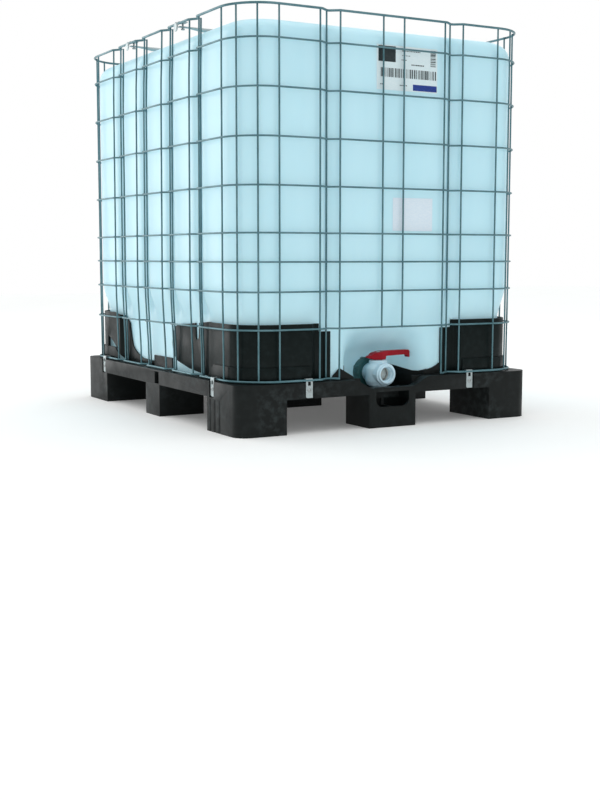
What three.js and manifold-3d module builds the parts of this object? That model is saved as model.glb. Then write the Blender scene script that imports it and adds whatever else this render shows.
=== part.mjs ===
// An intermediate bulk container: a blown plastic bottle in a welded wire cage on a moulded pallet,
// with a ball valve at the bottom of its front face and a screw cap on top.
//
// Millimetres. +Z up, the valve faces -Y, +X is to the right of someone who faces the valve.
// The origin is on the floor, at the middle of the pallet.

import * as THREE from "three";
import { mergeVertices } from "three/addons/utils/BufferGeometryUtils.js";
import Module from "manifold-3d";

const wasm = await Module();
wasm.setup();

// ---------------------------------------------------------------- driving dimensions

const GAP = 0.3; // clearance kept between neighbouring solids
const OVER = 1; // how far a cutter runs past the face that it opens

const PALLET = {
  halfX: 500,
  halfY: 600,
  corner: 40, // plan radius of the outer corners
  foot: 98, // height of the feet, and so of the fork openings
  floor: 106, // the pan under the bottle
  rim: 143, // the rim around the pan
  wall: 180, // the low wall inside the cage, between the corner guards
};

const CAGE = {
  halfX: 482, // to the middle of the uprights
  halfY: 590,
  corner: 115, // plan radius of the corners
  frameWire: 6, // the top and bottom hoops
  hoopWire: 5,
  upright: 4,
  grooveHalf: 29, // half the width of a pressed groove
  grooveDepth: 21,
  frontGrooves: [-208, 208], // groove centres on the faces that are 1000 wide
  sideGrooves: [-300, -100, 100, 300], // and on the faces that are 1200 wide
  frontPlain: [-35, 35], // uprights that stand between the grooves of the short faces
  top: 1159.5, // heights of the hoops' centre lines
  hoops: [1072, 944, 814, 684, 556, 477, 395, 291],
  bottom: 149,
};

const BOTTLE = {
  halfX: 451,
  halfY: 559,
  corner: 84,
  bottom: PALLET.floor + GAP,
  top: 1128,
  wall: 3,
  swell: 21, // how far its faces swell out above the guards
  swellFoot: 308,
  swellFull: 392,
  flute: 14.5, // depth of the upright flutes that leave room for the cage's grooves
  topRound: 45,
  bottomRound: 50,
  neckOuter: 80,
  neckBore: 73,
  neckTop: 1152,
};

const RECESS = { backY: -440, backHalf: 80, frontHalf: 150, backTop: 215, frontTop: 300 };

const VALVE = { y: -520, z: 150, ball: 25, bore: 19 }; // the ball's centre is at x = 0

const OUTLET = { front: -462, radius: 36, bore: 26 }; // the bottle's threaded stub behind the valve

const GUARD = {
  offset: CAGE.grooveDepth + 4.2, // from the uprights' plane in to the outer face of its wings
  bulge: 13, // how much nearer to the cage it stands round the corner
  frontBend: 258, // where its wings bend out to the bulge
  sideBend: 352,
  bendRun: 16,
  thickness: 4.7,
  bottom: PALLET.rim + GAP,
  top: 305,
  stepTop: 282,
  frontEnd: 190,
  sideEnd: 58,
  stepEnd: 228,
  bandTop: 187, // the thicker band along its foot
  bandDepth: 4,
  bandFront: 262,
  bandSide: 356,
};

const CLIP = {
  width: 22,
  plate: 2,
  low: 100,
  frontX: 277,
  sideY: 430,
  recess: 5.4, // depth of the pocket in the pallet that a clip stands in
  standOff: 3, // from the pallet's outer face in to the clip
  holeRadius: 2.8,
  screwZ: 121,
};

const BAR = { y: 190, width: 16, thickness: 8, middleZ: 1145, boltX: 468, holeRadius: 3.4 };

const SCREW_CAP = { skirtBore: 81.5, outer: 88, low: 1131, high: 1160, plate: 5.5, gripReach: 3, grips: 12 };

const VENT = { hole: 18.4, radius: 18, foot: 15, rise: 1.5 };

// ---------------------------------------------------------------- solids from three.js geometry

function toSolid(geometry) {
  const bare = geometry.index ? geometry.toNonIndexed() : geometry.clone();
  for (const name of Object.keys(bare.attributes)) {
    if (name !== "position") bare.deleteAttribute(name);
  }
  const merged = mergeVertices(bare, 1e-3);
  const index = merged.index.array;
  const kept = [];
  for (let i = 0; i < index.length; i += 3) {
    const [a, b, c] = [index[i], index[i + 1], index[i + 2]];
    if (a !== b && b !== c && c !== a) kept.push(a, b, c);
  }
  const mesh = new wasm.Mesh({
    numProp: 3,
    vertProperties: new Float32Array(merged.attributes.position.array),
    triVerts: new Uint32Array(kept),
  });
  return new wasm.Manifold(mesh);
}

function toGeometry(solid) {
  const mesh = solid.getMesh();
  const positions = new Float32Array(mesh.numVert * 3);
  for (let i = 0; i < mesh.numVert; i += 1) {
    const from = i * mesh.numProp;
    positions.set(mesh.vertProperties.subarray(from, from + 3), i * 3);
  }
  const geometry = new THREE.BufferGeometry();
  geometry.setAttribute("position", new THREE.BufferAttribute(positions, 3));
  geometry.setIndex(new THREE.BufferAttribute(mesh.triVerts, 1));
  geometry.computeVertexNormals();
  return geometry;
}

const union = (solids) => solids.reduce((sum, next) => sum.add(next));
const cut = (body, ...tools) => tools.reduce((left, tool) => left.subtract(tool), body);

// A block from its two opposite corners.
function block([x0, y0, z0], [x1, y1, z1]) {
  const geometry = new THREE.BoxGeometry(x1 - x0, y1 - y0, z1 - z0);
  geometry.translate((x0 + x1) / 2, (y0 + y1) / 2, (z0 + z1) / 2);
  return toSolid(geometry);
}

// A plan outline raised from z0 to z1.
function slab(shape, z0, z1, curveSegments = 6) {
  const geometry = new THREE.ExtrudeGeometry(shape, { depth: z1 - z0, bevelEnabled: false, curveSegments });
  geometry.translate(0, 0, z0);
  return toSolid(geometry);
}

// An outline drawn in X and Z, as seen along +Y, pushed from y0 to y1.
function slabAlongY(shape, y0, y1, curveSegments = 6) {
  const geometry = new THREE.ExtrudeGeometry(shape, { depth: y1 - y0, bevelEnabled: false, curveSegments });
  geometry.rotateX(Math.PI / 2);
  geometry.translate(0, y1, 0);
  return toSolid(geometry);
}

// An outline drawn in Y and Z, pushed from x0 to x1.
function slabAlongX(shape, x0, x1, curveSegments = 6) {
  const geometry = new THREE.ExtrudeGeometry(shape, { depth: x1 - x0, bevelEnabled: false, curveSegments });
  geometry.rotateX(Math.PI / 2);
  geometry.rotateZ(Math.PI / 2);
  geometry.translate(x0, 0, 0);
  return toSolid(geometry);
}

// A turned solid about +Z. The profile is a list of [radius, height].
function turned(profile, segments = 24) {
  const points = profile.map(([radius, height]) => new THREE.Vector2(radius, height));
  const geometry = new THREE.LatheGeometry(points, segments);
  geometry.rotateX(Math.PI / 2);
  const solid = toSolid(geometry);
  return solid.volume() > 0 ? solid : toSolid(flipped(geometry));
}

function flipped(geometry) {
  const copy = geometry.index ? geometry.toNonIndexed() : geometry.clone();
  const position = copy.attributes.position;
  for (let i = 0; i < position.count; i += 3) {
    const first = new THREE.Vector3().fromBufferAttribute(position, i);
    const second = new THREE.Vector3().fromBufferAttribute(position, i + 1);
    position.setXYZ(i, second.x, second.y, second.z);
    position.setXYZ(i + 1, first.x, first.y, first.z);
  }
  return copy;
}

// A plain disc or shaft, and a ring with a square section, both about +Z.
const disc = (radius, z0, z1, segments = 24) =>
  turned([[0, z0], [radius, z0], [radius, z1], [0, z1]], segments);
const ring = (inner, outer, z0, z1, segments = 24) =>
  turned([[inner, z0], [outer, z0], [outer, z1], [inner, z1], [inner, z0]], segments);

const FACING_FRONT = [90, 0, 0]; // turns +Z to -Y

const turnedToFront = (solid, x, z) => solid.rotate(FACING_FRONT).translate([x, 0, z]);

// A shaft or a ring along Y, with its ends given as y values.
const discAlongY = (radius, y0, y1, x, z, segments) => turnedToFront(disc(radius, -y1, -y0, segments), x, z);
const ringAlongY = (inner, outer, y0, y1, x, z, segments) =>
  turnedToFront(ring(inner, outer, -y1, -y0, segments), x, z);

function roundedRectangle(halfX, halfY, radius) {
  const shape = new THREE.Shape();
  shape.moveTo(-halfX + radius, -halfY);
  shape.lineTo(halfX - radius, -halfY);
  shape.absarc(halfX - radius, -halfY + radius, radius, -Math.PI / 2, 0);
  shape.absarc(halfX - radius, halfY - radius, radius, 0, Math.PI / 2);
  shape.absarc(-halfX + radius, halfY - radius, radius, Math.PI / 2, Math.PI);
  shape.absarc(-halfX + radius, -halfY + radius, radius, Math.PI, Math.PI * 1.5);
  return shape;
}

function polygon(points) {
  return new THREE.Shape(points.map(([x, y]) => new THREE.Vector2(x, y)));
}

// The outline of a bent strip: a path with mitred sides, at two distances to the left of it.
function strip(path, left, right) {
  const side = (distance) =>
    path.map(([x, y], i) => {
      const before = path[Math.max(i - 1, 0)];
      const after = path[Math.min(i + 1, path.length - 1)];
      const into = new THREE.Vector2(x - before[0], y - before[1]).normalize();
      const away = new THREE.Vector2(after[0] - x, after[1] - y).normalize();
      if (i === 0) into.copy(away);
      if (i === path.length - 1) away.copy(into);
      const middle = into.clone().add(away).normalize();
      const reach = distance / middle.dot(away);
      return [x - middle.y * reach, y + middle.x * reach];
    });
  return polygon([...side(right), ...side(left).reverse()]);
}

// ---------------------------------------------------------------- the assembly

const container = new THREE.Group();

function add(name, solid, { color, roughness, metalness = 0 }) {
  const material = new THREE.MeshStandardMaterial({ color, roughness, metalness });
  const mesh = new THREE.Mesh(toGeometry(solid), material);
  mesh.name = name;
  container.add(mesh);
}

const MATERIAL = {
  pallet: { color: 0x1f2224, roughness: 0.55 },
  guard: { color: 0x212426, roughness: 0.5 },
  bottle: { color: 0xd3edf2, roughness: 0.35 },
  cage: { color: 0xa9b7bb, roughness: 0.4, metalness: 0.85 },
  zinc: { color: 0xc3c9c8, roughness: 0.35, metalness: 0.9 },
  valve: { color: 0xdfe8ee, roughness: 0.4 },
  lever: { color: 0x8f1226, roughness: 0.45 },
  nut: { color: 0x1d2a2b, roughness: 0.5 },
  seal: { color: 0x1b1b1c, roughness: 0.7 },
  seat: { color: 0xf1f1ec, roughness: 0.3 },
  cap: { color: 0x1c1f20, roughness: 0.5 },
  label: { color: 0xf2f5f4, roughness: 0.6 },
};

const signs = [-1, 1];
const END = { "-1": "front", 1: "back" };
const SIDE = { "-1": "left", 1: "right" };

// ---------------------------------------------------------------- pallet

const FOOT = {
  cornerX: 150,
  cornerY: 200,
  middleX: 80,
  middleY: 55,
  deep: 130, // of the middle feet at the front and the back
  wall: 8,
  rib: 10,
  pocketTop: 80,
};
const PAN = { play: 1.5 }; // room around the bottle
const SILL = { half: 70, shoulder: 130, top: 116, back: -566 }; // the dropped rim under the valve
const BAY = { half: 90, front: -572, back: -436, floor: 101 }; // the hollow under the valve
const HAND_POCKET = { half: 57, low: 60, high: 104, back: -545, round: 22 };
const WALL = { thickness: 5, sink: 3, sideNear: 56, sideFar: 86, backRise: 7 };

// The nine feet as [x0, x1, y0, y1].
function footPlaces() {
  const { halfX, halfY } = PALLET;
  const columns = [
    [-halfX, -halfX + FOOT.cornerX, FOOT.cornerX],
    [-FOOT.middleX, FOOT.middleX, FOOT.middleX * 2],
    [halfX - FOOT.cornerX, halfX, FOOT.cornerX],
  ];
  return columns.flatMap(([x0, x1], column) => {
    const long = column === 1 ? FOOT.deep : FOOT.cornerY;
    return [
      [x0, x1, -halfY, -halfY + long],
      [x0, x1, -FOOT.middleY, FOOT.middleY],
      [x0, x1, halfY - long, halfY],
    ];
  });
}

// Each foot is moulded hollow from below, with a cross of ribs left standing in it.
function footPockets([x0, x1, y0, y1]) {
  const { wall, pocketTop } = FOOT;
  const middleX = (x0 + x1) / 2;
  const middleY = (y0 + y1) / 2;
  const half = FOOT.rib / 2;
  const spansX = [[x0 + wall, middleX - half], [middleX + half, x1 - wall]];
  const spansY = [[y0 + wall, middleY - half], [middleY + half, y1 - wall]];
  return spansX.flatMap(([a, b]) => spansY.map(([c, d]) => block([a, c, -OVER], [b, d, pocketTop])));
}

function frontHandPocket() {
  const { half, low, high, back, round } = HAND_POCKET;
  const shape = new THREE.Shape();
  shape.moveTo(-half, high);
  shape.lineTo(-half, low + round);
  shape.absarc(-half + round, low + round, round, Math.PI, Math.PI * 1.5);
  shape.lineTo(half - round, low);
  shape.absarc(half - round, low + round, round, -Math.PI / 2, 0);
  shape.lineTo(half, high);
  return slabAlongY(shape, -PALLET.halfY - OVER, back, 4);
}

// The low walls between the guards, at the sides and the back.
function palletWalls() {
  const { thickness, sink, sideNear, sideFar, backRise } = WALL;
  const outerX = CAGE.halfX - GUARD.offset;
  const outerY = CAGE.halfY - GUARD.offset;
  const low = PALLET.rim - sink;
  const top = PALLET.wall;
  const end = GUARD.frontEnd - 2;
  const back = block([-end, outerY - thickness, low], [end, outerY, top + backRise]);
  const left = block([-outerX, -sideNear, low], [-outerX + thickness, sideFar, top]);
  const right = block([outerX - thickness, -sideFar, low], [outerX, sideNear, top]);
  return [back, left, right];
}

// The walls beside the valve bay. Each has a fin across the front, on the pallet's rim, and a wall that runs
// back along the side of the bottle's recess. The wall's top dips in the middle.
function addBayWalls() {
  const { backY, backHalf, frontHalf } = RECESS;
  const { thickness } = WALL;
  const outerY = CAGE.halfY - GUARD.offset;
  const low = PALLET.rim + GAP;
  const end = GUARD.frontEnd - 2;
  const leftFin = [[-end, low], [-180, 156], [-159, 176], [-112, 149], [-112, low]];
  const rightFin = [[132, low], [132, 157], [146, 159], [162, 163], [178, 170], [end, 177], [end, low]];
  const clear = 5; // from the bottle
  const front = [frontHalf - clear, -BOTTLE.halfY];
  const slope = (frontHalf - backHalf) / (-BOTTLE.halfY - backY);
  const turn = Math.atan2(1, slope) * (180 / Math.PI);
  const foot = PALLET.floor + GAP;
  const length = 127;
  const crest = [[length, 171], [100, 165.5], [75, 159.5], [45, 153.5], [26, 153.5], [12, 156.5], [0, 160]];
  const lip = [[-3, 159], [-3, low], [3, low]];
  const outline = polygon([[3, foot], [length, foot], ...crest, ...lip]);
  const wall = slabAlongY(outline, 0, thickness).rotate([0, 0, turn]).translate([...front, 0]);
  const fins = [leftFin, rightFin].map((fin) => slabAlongY(polygon(fin), -outerY, -outerY + thickness));
  add("valve_bay_wall_left", union([fins[0], wall.mirror([1, 0, 0])]), MATERIAL.pallet);
  add("valve_bay_wall_right", union([fins[1], wall]), MATERIAL.pallet);
}

// Two clips on each face, near its corners. The end faces are the ones that are 1000 wide.
function clipPlaces() {
  const places = [];
  for (const side of signs) {
    for (const end of signs) {
      const onEnd = { name: `${END[end]}_${SIDE[side]}`, end: true, turn: end < 0 ? 0 : 180 };
      const onSide = { name: `${SIDE[side]}_${END[end]}`, end: false, turn: side < 0 ? -90 : 90 };
      places.push({ ...onEnd, x: side * CLIP.frontX, y: 0 });
      places.push({ ...onSide, x: 0, y: end * CLIP.sideY });
    }
  }
  return places;
}

// Moves something drawn in the middle of the front face to a clip's place.
const toClip = (solid, place) => solid.rotate([0, 0, place.turn]).translate([place.x, place.y, 0]);

const clipFace = (place) => (place.end ? PALLET.halfY : PALLET.halfX);

function pallet() {
  const outline = roundedRectangle(PALLET.halfX, PALLET.halfY, PALLET.corner);
  const panX = BOTTLE.halfX + PAN.play;
  const panY = BOTTLE.halfY + PAN.play;
  const over = PALLET.rim + OVER;
  const pan = slab(roundedRectangle(panX, panY, BOTTLE.corner + PAN.play), PALLET.floor, over, 5);
  const deck = cut(slab(outline, PALLET.foot, PALLET.rim, 4), pan);
  const full = slab(outline, 0, PALLET.foot + OVER, 4);
  const feet = footPlaces().map(([x0, x1, y0, y1]) =>
    block([x0, y0, -OVER], [x1, y1, PALLET.foot + OVER]).intersect(full),
  );
  const { wall } = FOOT;
  const inside = roundedRectangle(PALLET.halfX - wall, PALLET.halfY - wall, PALLET.corner - wall);
  const pockets = union(footPlaces().flatMap(footPockets)).intersect(slab(inside, -OVER, PALLET.foot, 4));
  const sillHalf = [
    [SILL.half, SILL.top],
    [SILL.half + 14, SILL.top + 5],
    [SILL.shoulder - 18, PALLET.rim - 6],
    [SILL.shoulder, over],
  ];
  const sill = polygon([...sillHalf.map(([x, z]) => [-x, z]).reverse(), ...sillHalf]);
  const bay = block([-BAY.half, BAY.front, BAY.floor], [BAY.half, BAY.back, over]);
  const clipPockets = clipPlaces().flatMap((place) => {
    const face = clipFace(place);
    const half = CLIP.width / 2 + 3;
    const pocket = block([-half, -face - OVER, CLIP.low - 3], [half, -face + CLIP.recess, over]);
    const hole = discAlongY(CLIP.holeRadius, -face, -face + 24, 0, CLIP.screwZ, 6);
    return [toClip(pocket, place), toClip(hole, place)];
  });
  return cut(
    union([deck, ...feet, ...palletWalls()]),
    slabAlongY(sill, -PALLET.halfY - OVER, SILL.back),
    bay,
    frontHandPocket(),
    pockets,
    ...clipPockets,
  );
}

// ---------------------------------------------------------------- corner guards

// The guard's plan, from the end of its front wing round the corner to the end of its side wing.
function guardPath(frontEnd, sideEnd, inset) {
  const { bulge, frontBend, sideBend, bendRun } = GUARD;
  const near = inset - bulge;
  const radius = CAGE.corner - near;
  const centreX = -CAGE.halfX + CAGE.corner;
  const centreY = -CAGE.halfY + CAGE.corner;
  const steps = 6;
  const path = [];
  if (frontEnd < frontBend) {
    path.push([-frontEnd, -CAGE.halfY + inset], [-frontBend + bendRun, -CAGE.halfY + inset]);
  }
  path.push([-Math.max(frontEnd, frontBend), -CAGE.halfY + near]);
  for (let i = 0; i <= steps; i += 1) {
    const angle = -Math.PI / 2 - (Math.PI / 2) * (i / steps);
    path.push([centreX + radius * Math.cos(angle), centreY + radius * Math.sin(angle)]);
  }
  path.push([-CAGE.halfX + near, -Math.max(sideEnd, sideBend)]);
  if (sideEnd < sideBend) {
    path.push([-CAGE.halfX + inset, -sideBend + bendRun], [-CAGE.halfX + inset, -sideEnd]);
  }
  return path;
}

// What is left of a side wing that ends in a round lobe, drawn in Y and Z.
function lobeWing() {
  const { bottom, top } = GUARD;
  const shape = new THREE.Shape();
  shape.moveTo(-620, bottom);
  shape.lineTo(-332, bottom);
  shape.lineTo(-285, 149);
  shape.lineTo(-184, 158);
  shape.lineTo(-142, 166);
  shape.absarc(-118, 230, 59, -Math.PI * 0.4, Math.PI * 0.45);
  shape.lineTo(-182, 292);
  shape.lineTo(-232, 297);
  shape.lineTo(-235, 248);
  shape.lineTo(-252, 248);
  shape.lineTo(-257, 298);
  shape.lineTo(-330, top);
  shape.lineTo(-620, top);
  return shape;
}

// What is left of a side wing that leans out to a foot, over a triangular gap. Mirrored in Y.
function leaningWing() {
  const { bottom, top } = GUARD;
  const shape = new THREE.Shape();
  shape.moveTo(-620, bottom);
  shape.lineTo(-462, bottom);
  shape.lineTo(-462, 222);
  shape.quadraticCurveTo(-400, 205, -330, bottom);
  shape.lineTo(-87, bottom);
  shape.lineTo(-87, 161);
  shape.lineTo(-178, 163);
  shape.quadraticCurveTo(-250, 178, -270, 202);
  shape.quadraticCurveTo(-284, 232, -292, 272);
  shape.lineTo(-327, 295);
  shape.lineTo(-400, top);
  shape.lineTo(-620, top);
  return shape;
}

// The guard of the front left corner, with either kind of side wing.
function guard(sideWing) {
  const { offset, thickness, bottom, top, frontEnd, sideEnd, stepEnd, stepTop } = GUARD;
  const { bandTop, bandDepth, bandFront, bandSide } = GUARD;
  const { halfX, halfY } = PALLET;
  const panel = slab(strip(guardPath(frontEnd, sideEnd, offset), 0, -thickness), bottom, top);
  const band = slab(strip(guardPath(bandFront, bandSide, offset), bandDepth, -OVER), bottom, bandTop);
  const step = block([-stepEnd, -halfY, stepTop], [0, -halfY + CAGE.corner, top + OVER]);
  const bend = -CAGE.halfX + CAGE.corner;
  const side = slabAlongX(sideWing, -halfX, bend, 5);
  const front = block([bend - OVER, -halfY, 0], [0, -CAGE.halfY + CAGE.corner, top + OVER]);
  return cut(panel.add(band), step).intersect(side.add(front));
}

function addGuards() {
  const lobe = guard(lobeWing());
  const leaning = guard(leaningWing());
  add("corner_guard_front_left", lobe, MATERIAL.guard);
  add("corner_guard_back_right", lobe.rotate([0, 0, 180]), MATERIAL.guard);
  add("corner_guard_front_right", leaning.mirror([1, 0, 0]), MATERIAL.guard);
  add("corner_guard_back_left", leaning.mirror([0, 1, 0]), MATERIAL.guard);
}

// ---------------------------------------------------------------- cage

const SEAM = CAGE.corner + 8; // a face panel ends, and a corner panel starts, this far from the corner

// Along a face: how far in from the uprights' plane the mesh lies, as [along, in].
function facePath(half, grooves) {
  const path = [[-half, 0]];
  for (const centre of grooves) {
    path.push([centre - CAGE.grooveHalf, 0], [centre, CAGE.grooveDepth], [centre + CAGE.grooveHalf, 0]);
  }
  path.push([half, 0]);
  return path;
}

const LIP = CAGE.grooveHalf + CAGE.upright / 2; // from a groove's middle to the upright beside each bend

const grooveUprights = (grooves) =>
  grooves.flatMap((centre) => [
    { along: centre - LIP, depth: 0 },
    { along: centre, depth: CAGE.grooveDepth },
    { along: centre + LIP, depth: 0 },
  ]);

const SLACK = 0.8; // clearance between a hoop and the uprights that it only passes
const LAP = CAGE.upright / 2 + SLACK + CAGE.hoopWire / 2; // from an upright's middle out to a hoop's
const WELD = SLACK + 0.5; // extra reach of the one upright that a panel's hoops are joined to

// A panel drawn as the front face, with its uprights' plane at y = 0 and outwards -Y.
function facePanel({ path, uprights, hoops, frames, low, high, welded }) {
  const wires = uprights.map(({ along, depth }, i) => {
    const half = CAGE.upright / 2;
    const reach = i === welded ? half + WELD : half;
    return block([along - half, depth - reach, low], [along + half, depth + half, high]);
  });
  const outside = path.map(([along, depth]) => [along, depth - LAP]);
  for (const z of hoops) {
    const half = CAGE.hoopWire / 2;
    wires.push(slab(strip(outside, half, -half), z - half, z + half));
  }
  for (const z of frames) {
    const half = CAGE.frameWire / 2;
    wires.push(slab(strip(path, half, -half), z - half, z + half));
  }
  return union(wires);
}

const UPRIGHT_LOW = CAGE.bottom - 1;
const UPRIGHT_HIGH = CAGE.top - 1;
const LOWEST_HOOP = CAGE.hoops[CAGE.hoops.length - 1];
const CUT_HEIGHT = LOWEST_HOOP - CAGE.hoopWire; // the front panel is parted just under this hoop

function addCageFaces() {
  const halfShort = CAGE.halfX - SEAM - GAP / 2;
  const halfLong = CAGE.halfY - SEAM - GAP / 2;
  const plainUprights = CAGE.frontPlain.map((along) => ({ along, depth: 0 }));
  const shortUprights = [...grooveUprights(CAGE.frontGrooves), ...plainUprights];
  const whole = { hoops: CAGE.hoops, frames: [CAGE.top, CAGE.bottom], low: UPRIGHT_LOW, high: UPRIGHT_HIGH };
  const short = { path: facePath(halfShort, CAGE.frontGrooves), uprights: shortUprights, welded: 0 };
  const long = {
    path: facePath(halfLong, CAGE.sideGrooves),
    uprights: grooveUprights(CAGE.sideGrooves),
    welded: 0,
  };
  const upper = facePanel({ ...short, ...whole, frames: [CAGE.top], low: CUT_HEIGHT });
  const sidePanel = facePanel({ ...long, ...whole });
  const oneGroove = CAGE.frontGrooves.slice(0, 1);
  const lower = facePanel({
    path: facePath(halfShort, oneGroove).slice(0, 4),
    uprights: grooveUprights(oneGroove),
    hoops: [],
    frames: [CAGE.bottom],
    low: UPRIGHT_LOW,
    high: CUT_HEIGHT - GAP,
    welded: -1,
  });
  const atFront = [0, -CAGE.halfY, 0];
  add("cage_front_upper", upper.translate(atFront), MATERIAL.cage);
  add("cage_front_lower_left", lower.translate(atFront), MATERIAL.cage);
  add("cage_front_lower_right", lower.translate(atFront).mirror([1, 0, 0]), MATERIAL.cage);
  add("cage_back", facePanel({ ...short, ...whole }).translate(atFront).rotate([0, 0, 180]), MATERIAL.cage);
  const atSide = sidePanel.translate([0, -CAGE.halfX, 0]);
  add("cage_left", atSide.rotate([0, 0, -90]), MATERIAL.cage);
  add("cage_right", atSide.rotate([0, 0, 90]), MATERIAL.cage);
}

// The corner panel of the front left corner. Its hoops bend where its uprights stand.
function cageCorner() {
  const centre = [-CAGE.halfX + CAGE.corner, -CAGE.halfY + CAGE.corner];
  const angles = [90, 120, 150, 180].map((degrees) => (-degrees * Math.PI) / 180);
  const at = (radius, angle) => [centre[0] + radius * Math.cos(angle), centre[1] + radius * Math.sin(angle)];
  const straight = SEAM - CAGE.corner - GAP / 2;
  const bent = (radius) => [
    [centre[0] + straight, centre[1] - radius],
    ...angles.map((angle) => at(radius, angle)),
    [centre[0] - radius, centre[1] + straight],
  ];
  const wires = angles.map((angle, i) => {
    const half = CAGE.upright / 2;
    const outer = i === 1 ? half + WELD : half;
    const upright = block([-half, -half, UPRIGHT_LOW], [outer, half, UPRIGHT_HIGH]);
    return upright.rotate([0, 0, (angle * 180) / Math.PI]).translate([...at(CAGE.corner, angle), 0]);
  });
  for (const z of CAGE.hoops) {
    const half = CAGE.hoopWire / 2;
    wires.push(slab(strip(bent(CAGE.corner + LAP), half, -half), z - half, z + half));
  }
  for (const z of [CAGE.top, CAGE.bottom]) {
    const half = CAGE.frameWire / 2;
    wires.push(slab(strip(bent(CAGE.corner), half, -half), z - half, z + half));
  }
  return union(wires);
}

function addCageCorners() {
  const corner = cageCorner();
  add("cage_corner_front_left", corner, MATERIAL.cage);
  add("cage_corner_front_right", corner.mirror([1, 0, 0]), MATERIAL.cage);
  add("cage_corner_back_left", corner.mirror([0, 1, 0]), MATERIAL.cage);
  add("cage_corner_back_right", corner.rotate([0, 0, 180]), MATERIAL.cage);
}

// ---------------------------------------------------------------- clips that hold the cage to the pallet

function clip(face, hoopFace) {
  const plate = CLIP.plate;
  const outer = -face + CLIP.standOff; // the plate's outer side
  const ringFar = -hoopFace + CAGE.frameWire / 2;
  const over = CAGE.bottom + CAGE.frameWire / 2 + GAP;
  const half = CLIP.width / 2;
  const back = block([-half, outer, CLIP.low], [half, outer + plate, over + plate]);
  const roof = block([-half, outer, over], [half, ringFar + GAP + plate, over + plate]);
  const hook = block([-half, ringFar + GAP, over - 5], [half, ringFar + GAP + plate, over + plate]);
  const hole = discAlongY(CLIP.holeRadius, outer - OVER, outer + plate + OVER, 0, CLIP.screwZ, 6);
  return cut(union([back, roof, hook]), hole);
}

function clipScrew(face) {
  const outer = -face + CLIP.standOff;
  const head = discAlongY(6, -face, outer - GAP, 0, CLIP.screwZ, 8);
  const shank = discAlongY(CLIP.holeRadius - 0.4, -face + 1, outer + 20, 0, CLIP.screwZ, 6);
  return head.add(shank);
}

function addClips() {
  for (const place of clipPlaces()) {
    const face = clipFace(place);
    const hoopFace = place.end ? CAGE.halfY : CAGE.halfX;
    add(`clip_${place.name}`, toClip(clip(face, hoopFace), place), MATERIAL.zinc);
    add(`clip_screw_${place.name}`, toClip(clipScrew(face), place), MATERIAL.zinc);
  }
}

// ---------------------------------------------------------------- tie bars over the bottle

// The clamp of a tie bar's left end: a saddle over the cage's top wire, and the bolt up through both.
function tieBarSaddle(low) {
  const thickness = 2.2;
  const half = 12;
  const top = block([-490, -half, low], [-459, half, low + thickness]);
  const lip = block([-490, -half, low - 8], [-487.5, half, low + thickness]);
  const hole = disc(BAR.holeRadius, low - OVER, low + thickness + OVER, 6);
  return cut(top.add(lip), hole.translate([-BAR.boltX, 0, 0]));
}

function tieBarBolt(underBar, top) {
  const headHeight = 4;
  const head = disc(6, underBar - GAP - headHeight, underBar - GAP, 6);
  const shank = disc(BAR.holeRadius - 0.4, underBar - GAP - 1, top, 6);
  return head.add(shank).translate([-BAR.boltX, 0, 0]);
}

function addTieBars() {
  const half = BAR.thickness / 2;
  const underWire = CAGE.top - CAGE.frameWire / 2 - GAP;
  const endZ = underWire - half;
  const middle = BAR.middleZ + half;
  const path = [[-480, endZ], [-450, endZ], [-405, middle], [405, middle], [450, endZ], [480, endZ]];
  const straight = slabAlongY(strip(path, half, -half), -BAR.width / 2, BAR.width / 2);
  const holes = signs.map((side) =>
    disc(BAR.holeRadius, endZ - 2 * half, endZ + 2 * half, 6).translate([side * BAR.boltX, 0, 0]),
  );
  const bar = cut(straight, ...holes);
  const saddleLow = CAGE.top + CAGE.frameWire / 2 + GAP;
  const saddle = tieBarSaddle(saddleLow);
  const bolt = tieBarBolt(endZ - half, saddleLow + 2);
  for (const end of signs) {
    const y = end * BAR.y;
    add(`tie_bar_${END[end]}`, bar.translate([0, y, 0]), MATERIAL.zinc);
    for (const side of signs) {
      const name = `${END[end]}_${SIDE[side]}`;
      const place = (solid) => (side > 0 ? solid.mirror([1, 0, 0]) : solid).translate([0, y, 0]);
      add(`tie_bar_saddle_${name}`, place(saddle), MATERIAL.zinc);
      add(`tie_bar_bolt_${name}`, place(bolt), MATERIAL.zinc);
    }
  }
}

// ---------------------------------------------------------------- bottle

// A box with round upright corners whose top and bottom edges are rounded in steps.
function roundedTank(grow) {
  const { halfX, halfY, corner, top, bottom, swell, swellFoot, swellFull, topRound, bottomRound } = BOTTLE;
  const steps = 3;
  const layer = (out, inset, z) => {
    const more = out + grow - inset;
    const shape = roundedRectangle(halfX + more, halfY + more, corner + out + grow - inset * 0.6);
    const points = shape.getPoints(4);
    return points.slice(0, -1).map((point) => [point.x, point.y, z]);
  };
  const layers = [];
  for (let i = 0; i <= steps; i += 1) {
    const angle = (Math.PI / 2) * (i / steps);
    const radius = bottomRound + grow;
    layers.push(layer(0, radius * (1 - Math.sin(angle)), bottom - grow + radius * (1 - Math.cos(angle))));
  }
  layers.push(layer(0, 0, swellFoot), layer(swell * 0.7, 0, (swellFoot + swellFull) / 2));
  for (let i = 0; i <= steps; i += 1) {
    const angle = (Math.PI / 2) * (i / steps);
    const radius = topRound + grow;
    const z = i === 0 ? swellFull : top + grow - radius * (1 - Math.sin(angle));
    if (i === 0) layers.push(layer(swell, 0, z), layer(swell, 0, top - topRound));
    else layers.push(layer(swell, radius * (1 - Math.cos(angle)), z));
  }
  return loft(layers);
}

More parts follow.
